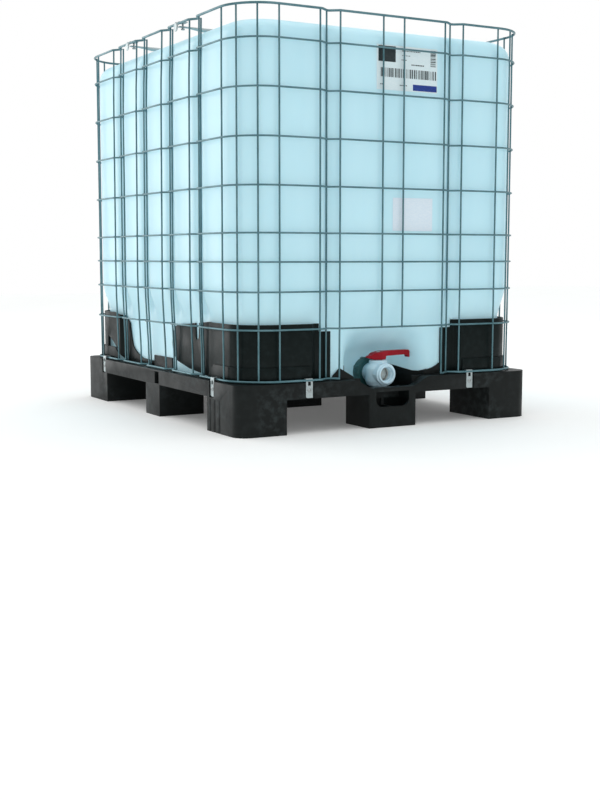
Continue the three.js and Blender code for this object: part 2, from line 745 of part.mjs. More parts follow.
// The upright flutes in the bottle's faces, one behind each groove of the cage.
function flutes(grow) {
  const { halfX, halfY, swell, flute, swellFoot, top } = BOTTLE;
  const half = CAGE.grooveHalf + 3 + grow;
  const solids = [];
  const addFlutes = (centres, face, turns) => {
    const bottomY = -face - swell + flute + grow * 1.2;
    const mouthY = -face - swell - 1;
    for (const centre of centres) {
      const mouth = [[centre - half, mouthY], [centre + half, mouthY]];
      const outline = [...mouth, [centre + 3, bottomY], [centre - 3, bottomY]];
      for (const turn of turns) {
        solids.push(slab(polygon(outline), swellFoot, top + grow + OVER).rotate([0, 0, turn]));
      }
    }
  };
  addFlutes(CAGE.frontGrooves, halfY, [0, 180]);
  addFlutes(CAGE.sideGrooves, halfX, [90, 270]);
  return solids;
}

// A closed solid through outlines that all have the same number of points.
function loft(layers) {
  const count = layers[0].length;
  const positions = [];
  const push = (...points) => points.forEach((point) => positions.push(...point));
  for (let level = 0; level < layers.length - 1; level += 1) {
    for (let i = 0; i < count; i += 1) {
      const next = (i + 1) % count;
      const [a, b] = [layers[level][i], layers[level][next]];
      const [c, d] = [layers[level + 1][next], layers[level + 1][i]];
      push(a, b, c, a, c, d);
    }
  }
  const first = layers[0];
  const last = layers[layers.length - 1];
  for (let i = 1; i < count - 1; i += 1) {
    push(first[0], first[i + 1], first[i]);
    push(last[0], last[i], last[i + 1]);
  }
  const geometry = new THREE.BufferGeometry();
  geometry.setAttribute("position", new THREE.Float32BufferAttribute(positions, 3));
  return toSolid(geometry);
}

// The hollow in the bottle's front that the valve stands in, grown by the wall for the inner face.
function valveRecess(grow) {
  const { backY, backHalf, frontHalf, backTop, frontTop } = RECESS;
  const front = -BOTTLE.halfY - 20;
  const slope = (frontHalf - backHalf) / (-BOTTLE.halfY - backY);
  const rise = (frontTop - backTop) / (-BOTTLE.halfY - backY);
  const back = backY + grow;
  const half = (y) => backHalf + grow * 1.2 + (y - back) * slope;
  const roof = (y) => backTop + grow * 1.2 + (y - back) * rise;
  const low = BOTTLE.bottom - 40;
  const section = (y) => [
    [-half(y), y, low],
    [half(y), y, low],
    [half(y), y, roof(y) - 24],
    [half(y) - 24, y, roof(y)],
    [-half(y) + 24, y, roof(y)],
    [-half(y), y, roof(y) - 24],
  ];
  return loft([section(front), section(back)].reverse());
}

function bottle() {
  const { wall, top, neckOuter, neckBore, neckTop } = BOTTLE;
  const { z } = VALVE;
  const { front, radius, bore } = OUTLET;
  const outer = union([
    cut(roundedTank(0), valveRecess(0), ...flutes(0)),
    disc(neckOuter, top - 2 * wall, neckTop, 24),
    discAlongY(radius, front, RECESS.backY + 2, 0, z, 20),
  ]);
  const inner = cut(roundedTank(-wall), valveRecess(wall), ...flutes(wall));
  const neck = disc(neckBore, top - 4 * wall, neckTop + OVER, 24);
  const outlet = discAlongY(bore, front - OVER, RECESS.backY + 3 * wall, 0, z, 20);
  return cut(outer, inner, neck, outlet);
}

// ---------------------------------------------------------------- screw cap

function addCap() {
  const { skirtBore, outer, low, high, plate, gripReach } = SCREW_CAP;
  const underPlate = high - plate;
  const grips = [];
  for (let i = 0; i < SCREW_CAP.grips; i += 1) {
    const grip = block([outer - 2, -5, low + 3], [outer + gripReach, 5, high - 4]);
    grips.push(grip.rotate([0, 0, (360 * i) / SCREW_CAP.grips]));
  }
  const shell = turned([
    [VENT.hole, underPlate],
    [skirtBore, underPlate],
    [skirtBore, low],
    [outer, low],
    [outer, high - 3],
    [outer - 3, high],
    [VENT.hole, high],
    [VENT.hole, underPlate],
  ]);
  const vent = turned(
    [
      [0, underPlate - 1],
      [VENT.foot, underPlate - 1],
      [VENT.radius, underPlate],
      [VENT.radius, high + VENT.rise],
      [0, high + VENT.rise],
    ],
    16,
  );
  add("screw_cap", union([shell, ...grips]), MATERIAL.cap);
  add("cap_gasket", ring(74, 79, BOTTLE.neckTop + GAP, underPlate - GAP), MATERIAL.seal);
  add("vent_plug", vent, MATERIAL.cap);
}

// ---------------------------------------------------------------- ball valve

const HOUSING = {
  radius: 38,
  low: 108,
  shoulder: 168,
  top: 190,
  collar: 27, // around the stem
  mouth: 32,
  tube: 28, // towards the bottle
  seatBore: 26.4,
};
const SPOUT = { flange: 33, outer: 28, inner: 21, plug: 26 };
const SEAT = { inner: 19.5, outer: 26, near: 16.5, far: 25 };
const STEM = { radius: 8, square: 5, sealRadius: 12, sealHeight: 5 };
const LEVER = { hub: 19, low: 191, underArm: 200, high: 217, reach: 110, tail: 40 };
const NUT = { bore: 28.6, outer: 44, threadBore: 36.8, rear: 23, front: -7, lugReach: 47.4, lugs: 8 };
const FACETS = 20;

function valveHousing() {
  const { y, z, bore } = VALVE;
  const { radius, low, shoulder, top, collar, mouth, tube, seatBore } = HOUSING;
  const profile = [
    [0, low],
    [20, low],
    [33, low + 8],
    [radius, low + 20],
    [radius, shoulder],
    [30, shoulder + 10],
    [collar, shoulder + 12],
    [collar, top],
    [0, top],
  ];
  const body = union([
    turned(profile, FACETS).translate([0, y, 0]),
    discAlongY(mouth, y - 40, y, 0, z, FACETS),
    discAlongY(tube, y, y + 52, 0, z, FACETS),
    discAlongY(OUTLET.radius, y + 50, y + 54.8, 0, z, FACETS),
  ]);
  return cut(
    body,
    discAlongY(seatBore, y - 50, y + SEAT.far + GAP, 0, z, FACETS),
    discAlongY(bore, y, y + 60, 0, z, FACETS),
    disc(STEM.radius + GAP, z + bore, top + OVER, 16).translate([0, y, 0]),
    disc(STEM.sealRadius, top - STEM.sealHeight - OVER, top + OVER, 16).translate([0, y, 0]),
  );
}

function outletSpout() {
  const { y, z, bore } = VALVE;
  const { flange, outer, inner, plug } = SPOUT;
  const flangeBack = y - 40 - GAP;
  return cut(
    union([
      discAlongY(plug, flangeBack, y - SEAT.far - GAP, 0, z, FACETS),
      discAlongY(flange, y - 44, flangeBack, 0, z, FACETS),
      discAlongY(outer, y - 50, y - 43, 0, z, FACETS),
    ]),
    discAlongY(inner, y - 60, y - 40, 0, z, FACETS),
    discAlongY(bore, y - 45, y, 0, z, FACETS),
  );
}

function ballSeat(direction) {
  const { y, z } = VALVE;
  const ends = [y + direction * SEAT.near, y + direction * SEAT.far].sort((a, b) => a - b);
  return ringAlongY(SEAT.inner, SEAT.outer, ends[0], ends[1], 0, z, FACETS);
}

// The ball is closed at rest, so its bore lies along X.
function valveBall() {
  const { y, z, ball, bore } = VALVE;
  const sphere = toSolid(new THREE.SphereGeometry(ball, FACETS, 12).rotateX(Math.PI / 2));
  const through = disc(bore - 2, -ball - OVER, ball + OVER, 16).rotate([0, 90, 0]);
  const slot = block([-7, -3.4, ball - 5], [7, 3.4, ball + OVER]);
  return cut(sphere, through, slot).translate([0, y, z]);
}

function valveStem() {
  const { y, z, ball } = VALVE;
  const { radius, square } = STEM;
  const { top } = HOUSING;
  const tongueTop = z + ball + 2;
  return cut(
    union([
      block([-6.6, -3, z + ball - 4.5], [6.6, 3, tongueTop]),
      disc(radius, tongueTop - 1.4, top + GAP, 16),
      block([-square, -square, top - OVER], [square, square, LEVER.high - 14]),
    ]),
    disc(2.8, LEVER.high - 26, LEVER.high, 8),
  ).translate([0, y, 0]);
}

// The lever points along +X at rest, across the flow. Its tip is turned down.
function lever() {
  const { hub, low, underArm, high, reach, tail } = LEVER;
  const profile = polygon([
    [-hub, low],
    [hub, low],
    [hub, underArm],
    [reach - 20, underArm],
    [reach - 10, underArm - 6],
    [reach, underArm - 6],
    [reach, high - 8],
    [reach - 9, high],
    [8, high],
    [-22, high - 6],
    [-26, high - 12],
    [-tail, high - 16],
    [-tail, low + 6],
  ]);
  const edge = [
    [-tail, 7],
    [-22, 13],
    [0, hub],
    [hub, 12],
    [reach - 10, 9],
    [reach, 6],
  ];
  const plan = polygon([...edge.map(([x, y]) => [x, -y]), ...edge.reverse()]);
  const arm = slabAlongY(profile, -hub, hub).intersect(slab(plan, low - OVER, high + OVER));
  const socket = STEM.square + 0.4;
  return cut(
    arm.add(disc(hub, low, high - OVER, FACETS)),
    block([-socket, -socket, low - OVER], [socket, socket, high - 13]),
    disc(3.2, low, high + OVER, 8),
    disc(7, high - 6, high + OVER, 12),
  ).translate([0, VALVE.y, 0]);
}

// The lugged nut that draws the valve against the bottle's outlet.
function unionNut() {
  const { bore, outer, threadBore, rear, front, lugReach } = NUT;
  const ringNut = turned(
    [
      [bore, -front],
      [outer, -front],
      [outer, -rear],
      [threadBore, -rear],
      [threadBore, 0],
      [bore, 0],
      [bore, -front],
    ],
    FACETS,
  );
  const lugs = [];
  for (let i = 0; i < NUT.lugs; i += 1) {
    const lug = block([outer - 2, -5, -rear + 7], [lugReach, 5, -front - 1]);
    lugs.push(lug.rotate([0, 0, (360 * (i + 0.5)) / NUT.lugs]));
  }
  return turnedToFront(union([ringNut, ...lugs]), 0, VALVE.z).translate([0, VALVE.y + 50, 0]);
}

function addValve() {
  const { y, z } = VALVE;
  const { high } = LEVER;
  const sealTop = HOUSING.top - 0.6;
  const seal = ring(STEM.radius + 0.4, STEM.sealRadius - 0.2, sealTop - STEM.sealHeight, sealTop, 16);
  const screw = disc(6, high - 5.7, high - 1.5, 8).add(disc(2.4, high - 22, high - 5, 8));
  add("valve_housing", valveHousing(), MATERIAL.valve);
  add("outlet_spout", outletSpout(), MATERIAL.valve);
  add("valve_ball", valveBall(), MATERIAL.valve);
  add("ball_seat_outlet_side", ballSeat(-1), MATERIAL.seat);
  add("ball_seat_bottle_side", ballSeat(1), MATERIAL.seat);
  add("valve_stem", valveStem(), MATERIAL.valve);
  add("stem_seal", seal.translate([0, y, 0]), MATERIAL.seal);
  add("valve_lever", lever(), MATERIAL.lever);
  add("lever_screw", screw.translate([0, y, 0]), MATERIAL.zinc);
  add("union_nut", unionNut(), MATERIAL.nut);
  const gasketFront = y + 54.8 + GAP;
  add("outlet_gasket", ringAlongY(26.5, 35, gasketFront, OUTLET.front - GAP, 0, z, FACETS), MATERIAL.seal);
}

// ---------------------------------------------------------------- labels

function addLabels() {
  const face = -BOTTLE.halfY - BOTTLE.swell - GAP;
  const thickness = 0.8;
  const label = (x0, x1, z0, z1) => block([x0, face - thickness, z0], [x1, face, z1]);
  add("contents_label", label(-52, 156, 959, 1083), MATERIAL.label);
  add("blank_label", label(6, 144, 565, 659), MATERIAL.label);
}

add("pallet", pallet(), MATERIAL.pallet);
addBayWalls();
addGuards();
add("bottle", bottle(), MATERIAL.bottle);
addCageFaces();
addCageCorners();
addClips();
addTieBars();
addCap();
addValve();
addLabels();

export default container;
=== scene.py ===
"""An intermediate bulk container: a milky plastic bottle in a welded wire cage on a black moulded pallet.

Metres. +Z up, the valve faces -Y, +X is to the right of someone who faces the valve.
"""

import math
import random

import bmesh
import bpy
from mathutils import Matrix, Vector


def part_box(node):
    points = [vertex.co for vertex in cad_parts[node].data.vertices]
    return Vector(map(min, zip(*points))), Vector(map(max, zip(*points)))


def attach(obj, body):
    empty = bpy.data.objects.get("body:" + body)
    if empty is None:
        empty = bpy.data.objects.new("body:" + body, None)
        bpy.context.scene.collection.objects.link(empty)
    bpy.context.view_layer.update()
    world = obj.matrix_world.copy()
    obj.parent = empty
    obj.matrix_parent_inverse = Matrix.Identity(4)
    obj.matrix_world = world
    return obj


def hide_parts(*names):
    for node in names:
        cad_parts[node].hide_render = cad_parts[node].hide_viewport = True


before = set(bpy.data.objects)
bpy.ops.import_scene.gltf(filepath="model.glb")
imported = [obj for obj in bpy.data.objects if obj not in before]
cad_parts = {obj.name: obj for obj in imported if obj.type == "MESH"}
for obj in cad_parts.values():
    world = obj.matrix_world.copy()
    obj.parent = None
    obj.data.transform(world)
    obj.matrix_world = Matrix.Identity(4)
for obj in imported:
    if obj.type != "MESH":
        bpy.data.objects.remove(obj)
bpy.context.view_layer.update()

scene = bpy.context.scene


# ---- camera, light and floor

def linked(name, data):
    """A new object in the scene."""
    obj = bpy.data.objects.new(name, data)
    scene.collection.objects.link(obj)
    return obj


def camera():
    data = bpy.data.cameras.new("camera")
    data.sensor_fit = "VERTICAL"
    data.sensor_height = 36.0
    data.lens = 55.13
    obj = linked("camera", data)
    obj.location = (-1.964, -3.542, 0.493)
    obj.rotation_euler = (math.radians(83.3), 0, math.radians(-29.36))
    scene.camera = obj


def area_light(name, location, size, power, color=(1, 1, 1)):
    """A square light that looks at the middle of the container."""
    data = bpy.data.lights.new(name, "AREA")
    data.shape = "SQUARE"
    data.size = size
    data.energy = power
    data.color = color
    obj = linked(name, data)
    obj.location = location
    obj.rotation_euler = (Vector((0, 0, 0.6)) - Vector(location)).to_track_quat("-Z", "Y").to_euler()


def studio():
    """Soft light from all round, a white backdrop for the camera only, and a pale floor."""
    scene.view_settings.view_transform = "Standard"
    world = bpy.data.worlds.new("studio")
    scene.world = world
    world.use_nodes = True
    tree = world.node_tree
    surround = tree.nodes["Background"]
    surround.inputs["Color"].default_value = (0.96, 0.99, 1.0, 1)
    surround.inputs["Strength"].default_value = 0.62
    backdrop = add_node(tree, "Background", Color=(1, 1, 1, 1))
    seen = add_node(tree, "LightPath")
    choose = add_node(tree, "MixShader")
    tree.links.new(seen.outputs["Is Camera Ray"], choose.inputs[0])
    tree.links.new(surround.outputs[0], choose.inputs[1])
    tree.links.new(backdrop.outputs[0], choose.inputs[2])
    tree.links.new(choose.outputs[0], tree.nodes["World Output"].inputs["Surface"])
    area_light("left", (-3.0, 4.6, 1.9), 4.0, 85)
    area_light("front", (1.6, -5.2, 3.4), 3.0, 10, (0.95, 0.98, 1.0))
    area_light("back", (3.8, 3.2, 2.6), 2.5, 20)
    data = bpy.data.lights.new("overhead", "SUN")
    data.energy = 1.15
    data.angle = math.radians(75)
    linked("overhead", data).location = (0, 0, 5)

    grid = bmesh.new()
    bmesh.ops.create_grid(grid, x_segments=24, y_segments=24, size=12.0)
    mesh = bpy.data.meshes.new("floor")
    grid.to_mesh(mesh)
    grid.free()
    floor = linked("floor", mesh)
    mesh.materials.append(floor_material())


# ---- materials

def add_node(tree, kind, **values):
    """A shader node. An underscore in the name of an input stands for a space."""
    node = tree.nodes.new("ShaderNode" + kind)
    for name, value in values.items():
        node.inputs[name.replace("_", " ")].default_value = value
    return node


def new_material(name, roughness, metallic=0.0, specular=0.5):
    material = bpy.data.materials.new(name)
    material.use_nodes = True
    tree = material.node_tree
    shader = tree.nodes["Principled BSDF"]
    shader.inputs["Roughness"].default_value = roughness
    shader.inputs["Metallic"].default_value = metallic
    shader.inputs["Specular IOR Level"].default_value = specular
    return material, tree, shader


def noise(tree, scale, detail=4.0, roughness=0.55, stretch=(1, 1, 1)):
    coordinates = add_node(tree, "TexCoord")
    mapping = add_node(tree, "Mapping", Scale=stretch)
    texture = add_node(tree, "TexNoise", Scale=scale, Detail=detail, Roughness=roughness)
    tree.links.new(coordinates.outputs["Object"], mapping.inputs["Vector"])
    tree.links.new(mapping.outputs["Vector"], texture.inputs["Vector"])
    return texture.outputs["Fac"]


def ramp(tree, value, stops):
    node = add_node(tree, "ValToRGB")
    elements = node.color_ramp.elements
    while len(elements) < len(stops):
        elements.new(0.5)
    for element, (position, color) in zip(elements, stops):
        element.position = position
        element.color = (*color, 1) if len(color) == 3 else color
    tree.links.new(value, node.inputs["Fac"])
    return node.outputs["Color"]


def grey(tree, value, low, high, start=0.3, end=0.7):
    """A number that runs from low to high as value runs from start to end."""
    node = add_node(tree, "MapRange", From_Min=start, From_Max=end, To_Min=low, To_Max=high)
    tree.links.new(value, node.inputs["Value"])
    return node.outputs["Result"]


def mix(tree, factor, a, b, blend="MIX"):
    node = add_node(tree, "Mix")
    node.data_type = "RGBA"
    node.blend_type = blend
    for value, socket in ((factor, 0), (a, 6), (b, 7)):
        if isinstance(value, bpy.types.NodeSocket):
            tree.links.new(value, node.inputs[socket])
        elif socket == 0:
            node.inputs[socket].default_value = value
        else:
            node.inputs[socket].default_value = (*value, 1)
    return node.outputs[2]


def edge_mask(tree, start=0.52, end=0.62):
    geometry = add_node(tree, "NewGeometry")
    return grey(tree, geometry.outputs["Pointiness"], 0.0, 1.0, start, end)


def multiply(tree, a, b):
    node = add_node(tree, "Math")
    node.operation = "MULTIPLY"
    for value, socket in ((a, 0), (b, 1)):
        if isinstance(value, bpy.types.NodeSocket):
            tree.links.new(value, node.inputs[socket])
        else:
            node.inputs[socket].default_value = value
    return node.outputs[0]


def bump(tree, shader, height, strength, distance):
    node = add_node(tree, "Bump", Strength=strength, Distance=distance)
    tree.links.new(height, node.inputs["Height"])
    tree.links.new(node.outputs["Normal"], shader.inputs["Normal"])


def floor_material():
    material, tree, shader = new_material("pale_floor", 0.8, specular=0.2)
    color = ramp(tree, noise(tree, 1.5), [(0.3, (0.91, 0.91, 0.9)), (0.7, (0.93, 0.93, 0.92))])
    tree.links.new(color, shader.inputs["Base Color"])
    tree.links.new(color, shader.inputs["Emission Color"])
    shader.inputs["Emission Strength"].default_value = 0.12
    bump(tree, shader, noise(tree, 60), 0.05, 0.001)
    return material


def bottle_material():
    """Milky polyethylene: faint clouds and drawn-out streaks from blowing, fine ripples on the surface."""
    material, tree, shader = new_material("milky_polyethylene", 0.34, specular=0.5)
    clouds = ramp(tree, noise(tree, 3.0), [(0.3, (0.45, 0.71, 0.8)), (0.72, (0.49, 0.75, 0.83))])
    streaks = grey(tree, noise(tree, 5.0, 3.0, stretch=(3, 3, 0.35)), 0.0, 0.3)
    color = mix(tree, streaks, clouds, (0.55, 0.79, 0.87))
    shader.inputs["Subsurface Weight"].default_value = 0.35
    # A painted glow in the bottle's own colour: it stands in for the light that comes through from the far
    # side and lifts the shade in the recess.
    tree.links.new(color, shader.inputs["Emission Color"])
    shader.inputs["Emission Strength"].default_value = 0.2
    shader.inputs["Subsurface Radius"].default_value = (0.6, 0.9, 1.0)
    shader.inputs["Subsurface Scale"].default_value = 0.03
    ripples = noise(tree, 11.0, 3.0, stretch=(1, 1, 0.5))
    dress(tree, shader, color, 9.0, 0.3, 0.44, ripples, 0.25, 0.004)
    return material


def dress(tree, shader, base, patches, low, high, *relief):
    """Colour, patchy roughness and relief of a shader."""
    tree.links.new(base, shader.inputs["Base Color"])
    tree.links.new(grey(tree, noise(tree, patches), low, high), shader.inputs["Roughness"])
    bump(tree, shader, *relief)


def black_plastic(name, color, scuff, roughness, grain, specular=0.18):
    """Moulded polyethylene: fine grain, dull patches, pale scuffs and worn edges."""
    material, tree, shader = new_material(name, roughness, specular=specular)
    patches = grey(tree, noise(tree, 5.0), 0.0, 0.35, 0.4, 0.8)
    dusty = tuple(c * 1.7 + 0.002 for c in color)
    base = mix(tree, patches, color, dusty)
    scratches = grey(tree, noise(tree, 34.0, 6.0, 0.7, (1, 1, 2.6)), 0.0, 0.1, 0.64, 0.8)
    base = mix(tree, scratches, base, scuff)
    worn = multiply(tree, edge_mask(tree), grey(tree, noise(tree, 45.0), 0.0, 0.35, 0.45, 0.65))
    base = mix(tree, worn, base, scuff)
    relief = noise(tree, grain, 5.0)
    dress(tree, shader, base, 14.0, roughness - 0.07, roughness + 0.1, relief, 0.18, 0.0008)
    return material


def galvanised(name, low, high, roughness, metallic, scale=70.0):
    """Zinc: a faint spangle, dull streaks and darker patches where it has weathered."""
    material, tree, shader = new_material(name, roughness, metallic)
    cells = add_node(tree, "TexVoronoi", Scale=scale)
    spangle = grey(tree, cells.outputs["Distance"], 0.0, 1.0, 0.0, 0.9)
    weathered = grey(tree, noise(tree, 16.0, 5.0), 0.0, 1.0, 0.35, 0.7)
    base = mix(tree, weathered, low, high)
    base = mix(tree, multiply(tree, spangle, 0.25), base, high)
    relief = noise(tree, 350.0)
    dress(tree, shader, base, 40.0, roughness - 0.08, roughness + 0.12, relief, 0.12, 0.0003)
    return material


def moulded(name, low, high, roughness, coat=0.0, grain=160.0, specular=0.5):
    """Smooth injection-moulded plastic, with slight flow clouds, handling marks and soft worn edges."""
    material, tree, shader = new_material(name, roughness, specular=specular)
    flow = grey(tree, noise(tree, 22.0, 3.0), 0.0, 1.0, 0.35, 0.68)
    base = mix(tree, flow, low, high)
    pale = tuple(min(1.0, c * 1.35 + 0.02) for c in high)
    worn = multiply(tree, edge_mask(tree, 0.53, 0.66), 0.45)
    base = mix(tree, worn, base, pale)
    shader.inputs["Coat Weight"].default_value = coat
    relief = noise(tree, grain, 3.0)
    dress(tree, shader, base, 60.0, roughness - 0.06, roughness + 0.09, relief, 0.1, 0.0004)
    return material


def film(name, color, speckle):
    material, tree, shader = new_material(name, 0.42, specular=0.4)
    fibres = grey(tree, noise(tree, 130.0, 4.0, stretch=(1, 1, 3)), 0.0, 1.0, 0.4, 0.7)
    tree.links.new(mix(tree, fibres, color, speckle), shader.inputs["Base Color"])
    bump(tree, shader, noise(tree, 30.0), 0.15, 0.0004)
    return material


# ---- mesh tools

def place(name, bm, material, body="container", angle=35, replaces=()):
    """Turns a bmesh into a piece that rides on a body."""
    bmesh.ops.remove_doubles(bm, verts=bm.verts, dist=1e-6)
    bmesh.ops.recalc_face_normals(bm, faces=bm.faces)
    mesh = bpy.data.meshes.new(name)
    bm.to_mesh(mesh)
    bm.free()
    return place_mesh(name, mesh, material, body, angle, replaces)


def place_mesh(name, mesh, material, body="container", angle=35, replaces=()):
    mesh.polygons.foreach_set("use_smooth", [True] * len(mesh.polygons))
    mesh.set_sharp_from_angle(angle=math.radians(angle))
    mesh.materials.clear()
    mesh.materials.append(material)
    obj = linked(name, mesh)
    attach(obj, body)
    if replaces:
        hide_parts(*replaces)
    return obj


def loose(bm):
    """A bmesh as an object that is only used to work on."""
    bmesh.ops.recalc_face_normals(bm, faces=bm.faces)
    mesh = bpy.data.meshes.new("work")
    bm.to_mesh(mesh)
    bm.free()
    return linked("work", mesh)


def evaluated(obj):
    """The object's mesh with its modifiers applied. The object itself is removed."""
    bpy.context.view_layer.update()
    graph = bpy.context.evaluated_depsgraph_get()
    mesh = bpy.data.meshes.new_from_object(obj.evaluated_get(graph))
    old = obj.data
    bpy.data.objects.remove(obj)
    bpy.data.meshes.remove(old)
    return mesh


def boolean(body, tools, operation="DIFFERENCE"):
    """body and tools are bmeshes. Returns an object."""
    target = loose(body)
    others = [loose(tool) for tool in tools]
    for other in others:
        modifier = target.modifiers.new("boolean", "BOOLEAN")
        modifier.operation = operation
        modifier.solver = "EXACT"
        modifier.object = other
    mesh = evaluated(target)
    for other in others:
        bpy.data.objects.remove(other)
    return linked("work", mesh)


def bmesh_of(mesh):
    bm = bmesh.new()
    bm.from_mesh(mesh)
    return bm


def as_bmesh(obj):
    bm = bmesh_of(obj.data)
    bpy.data.objects.remove(obj)
    return bm


def take_in(bm, other):
    """Moves the body of another bmesh into bm."""
    mesh = bpy.data.meshes.new("body")
    other.to_mesh(mesh)
    other.free()
    bm.from_mesh(mesh)
    bpy.data.meshes.remove(mesh)


def softened(obj, width, segments=2, angle=30):
    modifier = obj.modifiers.new("bevel", "BEVEL")
    modifier.width = width
    modifier.segments = segments
    modifier.limit_method = "ANGLE"
    modifier.angle_limit = math.radians(angle)
    modifier.harden_normals = False
    modifier.use_clamp_overlap = True
    return evaluated(obj)


def filleted(points, radius, steps=4, closed=False):
    """A polyline in 2D or 3D with its corners rounded."""
    points = [Vector(p) for p in points]
    count = len(points)
    out = []
    for i, p in enumerate(points):
        if not closed and i in (0, count - 1):
            out.append(p)
            continue
        before = (points[i - 1] - p)
        after = (points[(i + 1) % count] - p)
        turn = math.pi - before.angle(after)
        if turn < 0.03:
            out.append(p)
            continue
        reach = min(radius * math.tan(turn / 2), before.length * 0.45, after.length * 0.45)
        a = p + before.normalized() * reach
        b = p + after.normalized() * reach
        for step in range(steps + 1):
            t = step / steps
            out.append(a * (1 - t) ** 2 + p * 2 * t * (1 - t) + b * t ** 2)
    return out


def rounded(points, radius, steps=4, closed=False):
    """An outline in 2D with its corners rounded."""
    return [(p.x, p.y) for p in filleted([(*p, 0) for p in points], radius, steps, closed)]


def skin(bm, rings, closed=False):
    """Faces between rings of points. The first and the last ring are closed, or joined to each other."""
    for a, b in list(zip(rings, rings[1:])) + ([(rings[-1], rings[0])] if closed else []):
        for k in range(len(a)):
            n = (k + 1) % len(a)
            bm.faces.new((a[k], a[n], b[n], b[k]))
    if not closed:
        bm.faces.new(rings[0])
        bm.faces.new(list(reversed(rings[-1])))


def tube(bm, points, radius, sides=8, closed=False):
    """A round wire along a path."""
    points = [Vector(p) for p in points]
    count = len(points)
    rings = []
    for i, p in enumerate(points):
        before = points[i - 1] if i > 0 or closed else p
        after = points[(i + 1) % count] if i < count - 1 or closed else p
        tangent = (after - before).normalized()
        reference = Vector((1, 0, 0)) if abs(tangent.z) > 0.8 else Vector((0, 0, 1))
        side = tangent.cross(reference).normalized()
        up = side.cross(tangent)
        ring = []
        for k in range(sides):
            angle = 2 * math.pi * (k + 0.5) / sides
            ring.append(bm.verts.new(p + side * (radius * math.cos(angle)) + up * (radius * math.sin(angle))))
        rings.append(ring)
    skin(bm, rings, closed)


def lathe(profile, segments=64, closed=False):
    """A turned form about +Z from a list of (radius, height)."""
    bm = bmesh.new()
    rings = []
    for radius, height in profile:
        if radius < 1e-6:
            rings.append([bm.verts.new((0, 0, height))])
            continue
        turns = [2 * math.pi * k / segments for k in range(segments)]
        rings.append([bm.verts.new((radius * math.cos(a), radius * math.sin(a), height)) for a in turns])
    pairs = list(zip(rings, rings[1:])) + ([(rings[-1], rings[0])] if closed else [])
    for a, b in pairs:
        for k in range(segments):
            n = (k + 1) % segments
            if len(a) == 1 and len(b) == 1:
                continue
            if len(a) == 1:
                bm.faces.new((a[0], b[k], b[n]))
            elif len(b) == 1:
                bm.faces.new((a[k], a[n], b[0]))
            else:
                bm.faces.new((a[k], a[n], b[n], b[k]))
    return bm


def turned(profile, radius, segments=64, steps=3, closed=False):
    """A turned form with its corners rounded."""
    return lathe(rounded(profile, radius, steps), segments, closed)


def prism_mesh(outline, axis, low, high):
    """An outline pushed along an axis: (x, y) along z, (x, z) along y, or (y, z) along x."""
    put = {
        "z": lambda a, b, c: (a, b, c),
        "y": lambda a, b, c: (a, c, b),
        "x": lambda a, b, c: (c, a, b),
    }[axis]
    bm = bmesh.new()
    skin(bm, [[bm.verts.new(put(p[0], p[1], level)) for p in outline] for level in (low, high)])
    return bm


def block(low, high):
    plan = [(low[0], low[1]), (high[0], low[1]), (high[0], high[1]), (low[0], high[1])]
    return prism_mesh(plan, "z", low[2], high[2])


def moved(bm, matrix):
    bmesh.ops.transform(bm, matrix=matrix, verts=bm.verts)
    if matrix.determinant() < 0:
        bmesh.ops.reverse_faces(bm, faces=bm.faces)
    return bm


def turned_to_front(x, y, z):
    """Takes a form turned about +Z to one that faces -Y, with its foot at (x, y, z)."""
    return Matrix.Translation((x, y, z)) @ Matrix.Rotation(math.pi / 2, 4, "X")


def about_z(degrees):
    return Matrix.Rotation(math.radians(degrees), 4, "Z")


def smoothstep(value, low, high):
    t = min(max((value - low) / (high - low), 0.0), 1.0)
    return t * t * (3 - 2 * t)


# ---- the cage

HALF_X, HALF_Y = 0.482, 0.59  # to the middle of the uprights
CORNER = 0.115
GROOVE_HALF, GROOVE_DEPTH = 0.029, 0.021
FRONT_GROOVES = (-0.208, 0.208)
SIDE_GROOVES = (-0.3, -0.1, 0.1, 0.3)
FRONT_PLAIN = (-0.035, 0.035)
HOOPS = (1.072, 0.944, 0.814, 0.684, 0.556, 0.477, 0.395, 0.291)
TOP_HOOP, BOTTOM_HOOP = 1.1592, 0.149
UPRIGHT_R, HOOP_R, FRAME_R = 0.0026, 0.0027, 0.0034
VALVE_GAP = 0.176  # the cage is cut away to this far each side of the valve


def bow(p):
    """The filled bottle pushes the middle of each face of the cage out a little."""
    low = smoothstep(p[2], BOTTOM_HOOP, 0.42)
    rise = low * (1 - 0.45 * min(max((p[2] - 0.42) / 0.58, 0), 1)) * (1 - smoothstep(p[2], 0.98, TOP_HOOP))

    def push(most, along, reach, out, start, full):
        middle = math.cos(min(abs(along) / reach, 1) * math.pi / 2)
        return most * rise * middle * math.copysign(smoothstep(abs(out), start, full), out)

    side = push(0.0098, p[1], 0.56, p[0], 0.4, 0.46)
    end = push(0.002, p[0], 0.45, p[1], 0.5, 0.57)
    return Vector((p[0] + side, p[1] + end, p[2]))


def face_points(half, grooves, out):
    """Along one face, as (along, distance outside the uprights' plane)."""
    points = []
    for centre in grooves:
        points += [(centre - GROOVE_HALF, out), (centre, out - GROOVE_DEPTH), (centre + GROOVE_HALF, out)]
    return points


# Which way a face looks, its half length, its distance from the centre, its grooves and plain uprights.
FACES = (
    (0, HALF_X - CORNER, HALF_Y, FRONT_GROOVES, FRONT_PLAIN),
    (90, HALF_Y - CORNER, HALF_X, SIDE_GROOVES, ()),
    (180, HALF_X - CORNER, HALF_Y, FRONT_GROOVES, FRONT_PLAIN),
    (270, HALF_Y - CORNER, HALF_X, SIDE_GROOVES, ()),
)


def on_face(degrees, distance, along, out):
    """A point of a face in plan. At 0 degrees the face looks to -Y and runs along +X."""
    a = math.radians(degrees)
    x, y = along, -(distance + out)
    return (x * math.cos(a) - y * math.sin(a), x * math.sin(a) + y * math.cos(a))


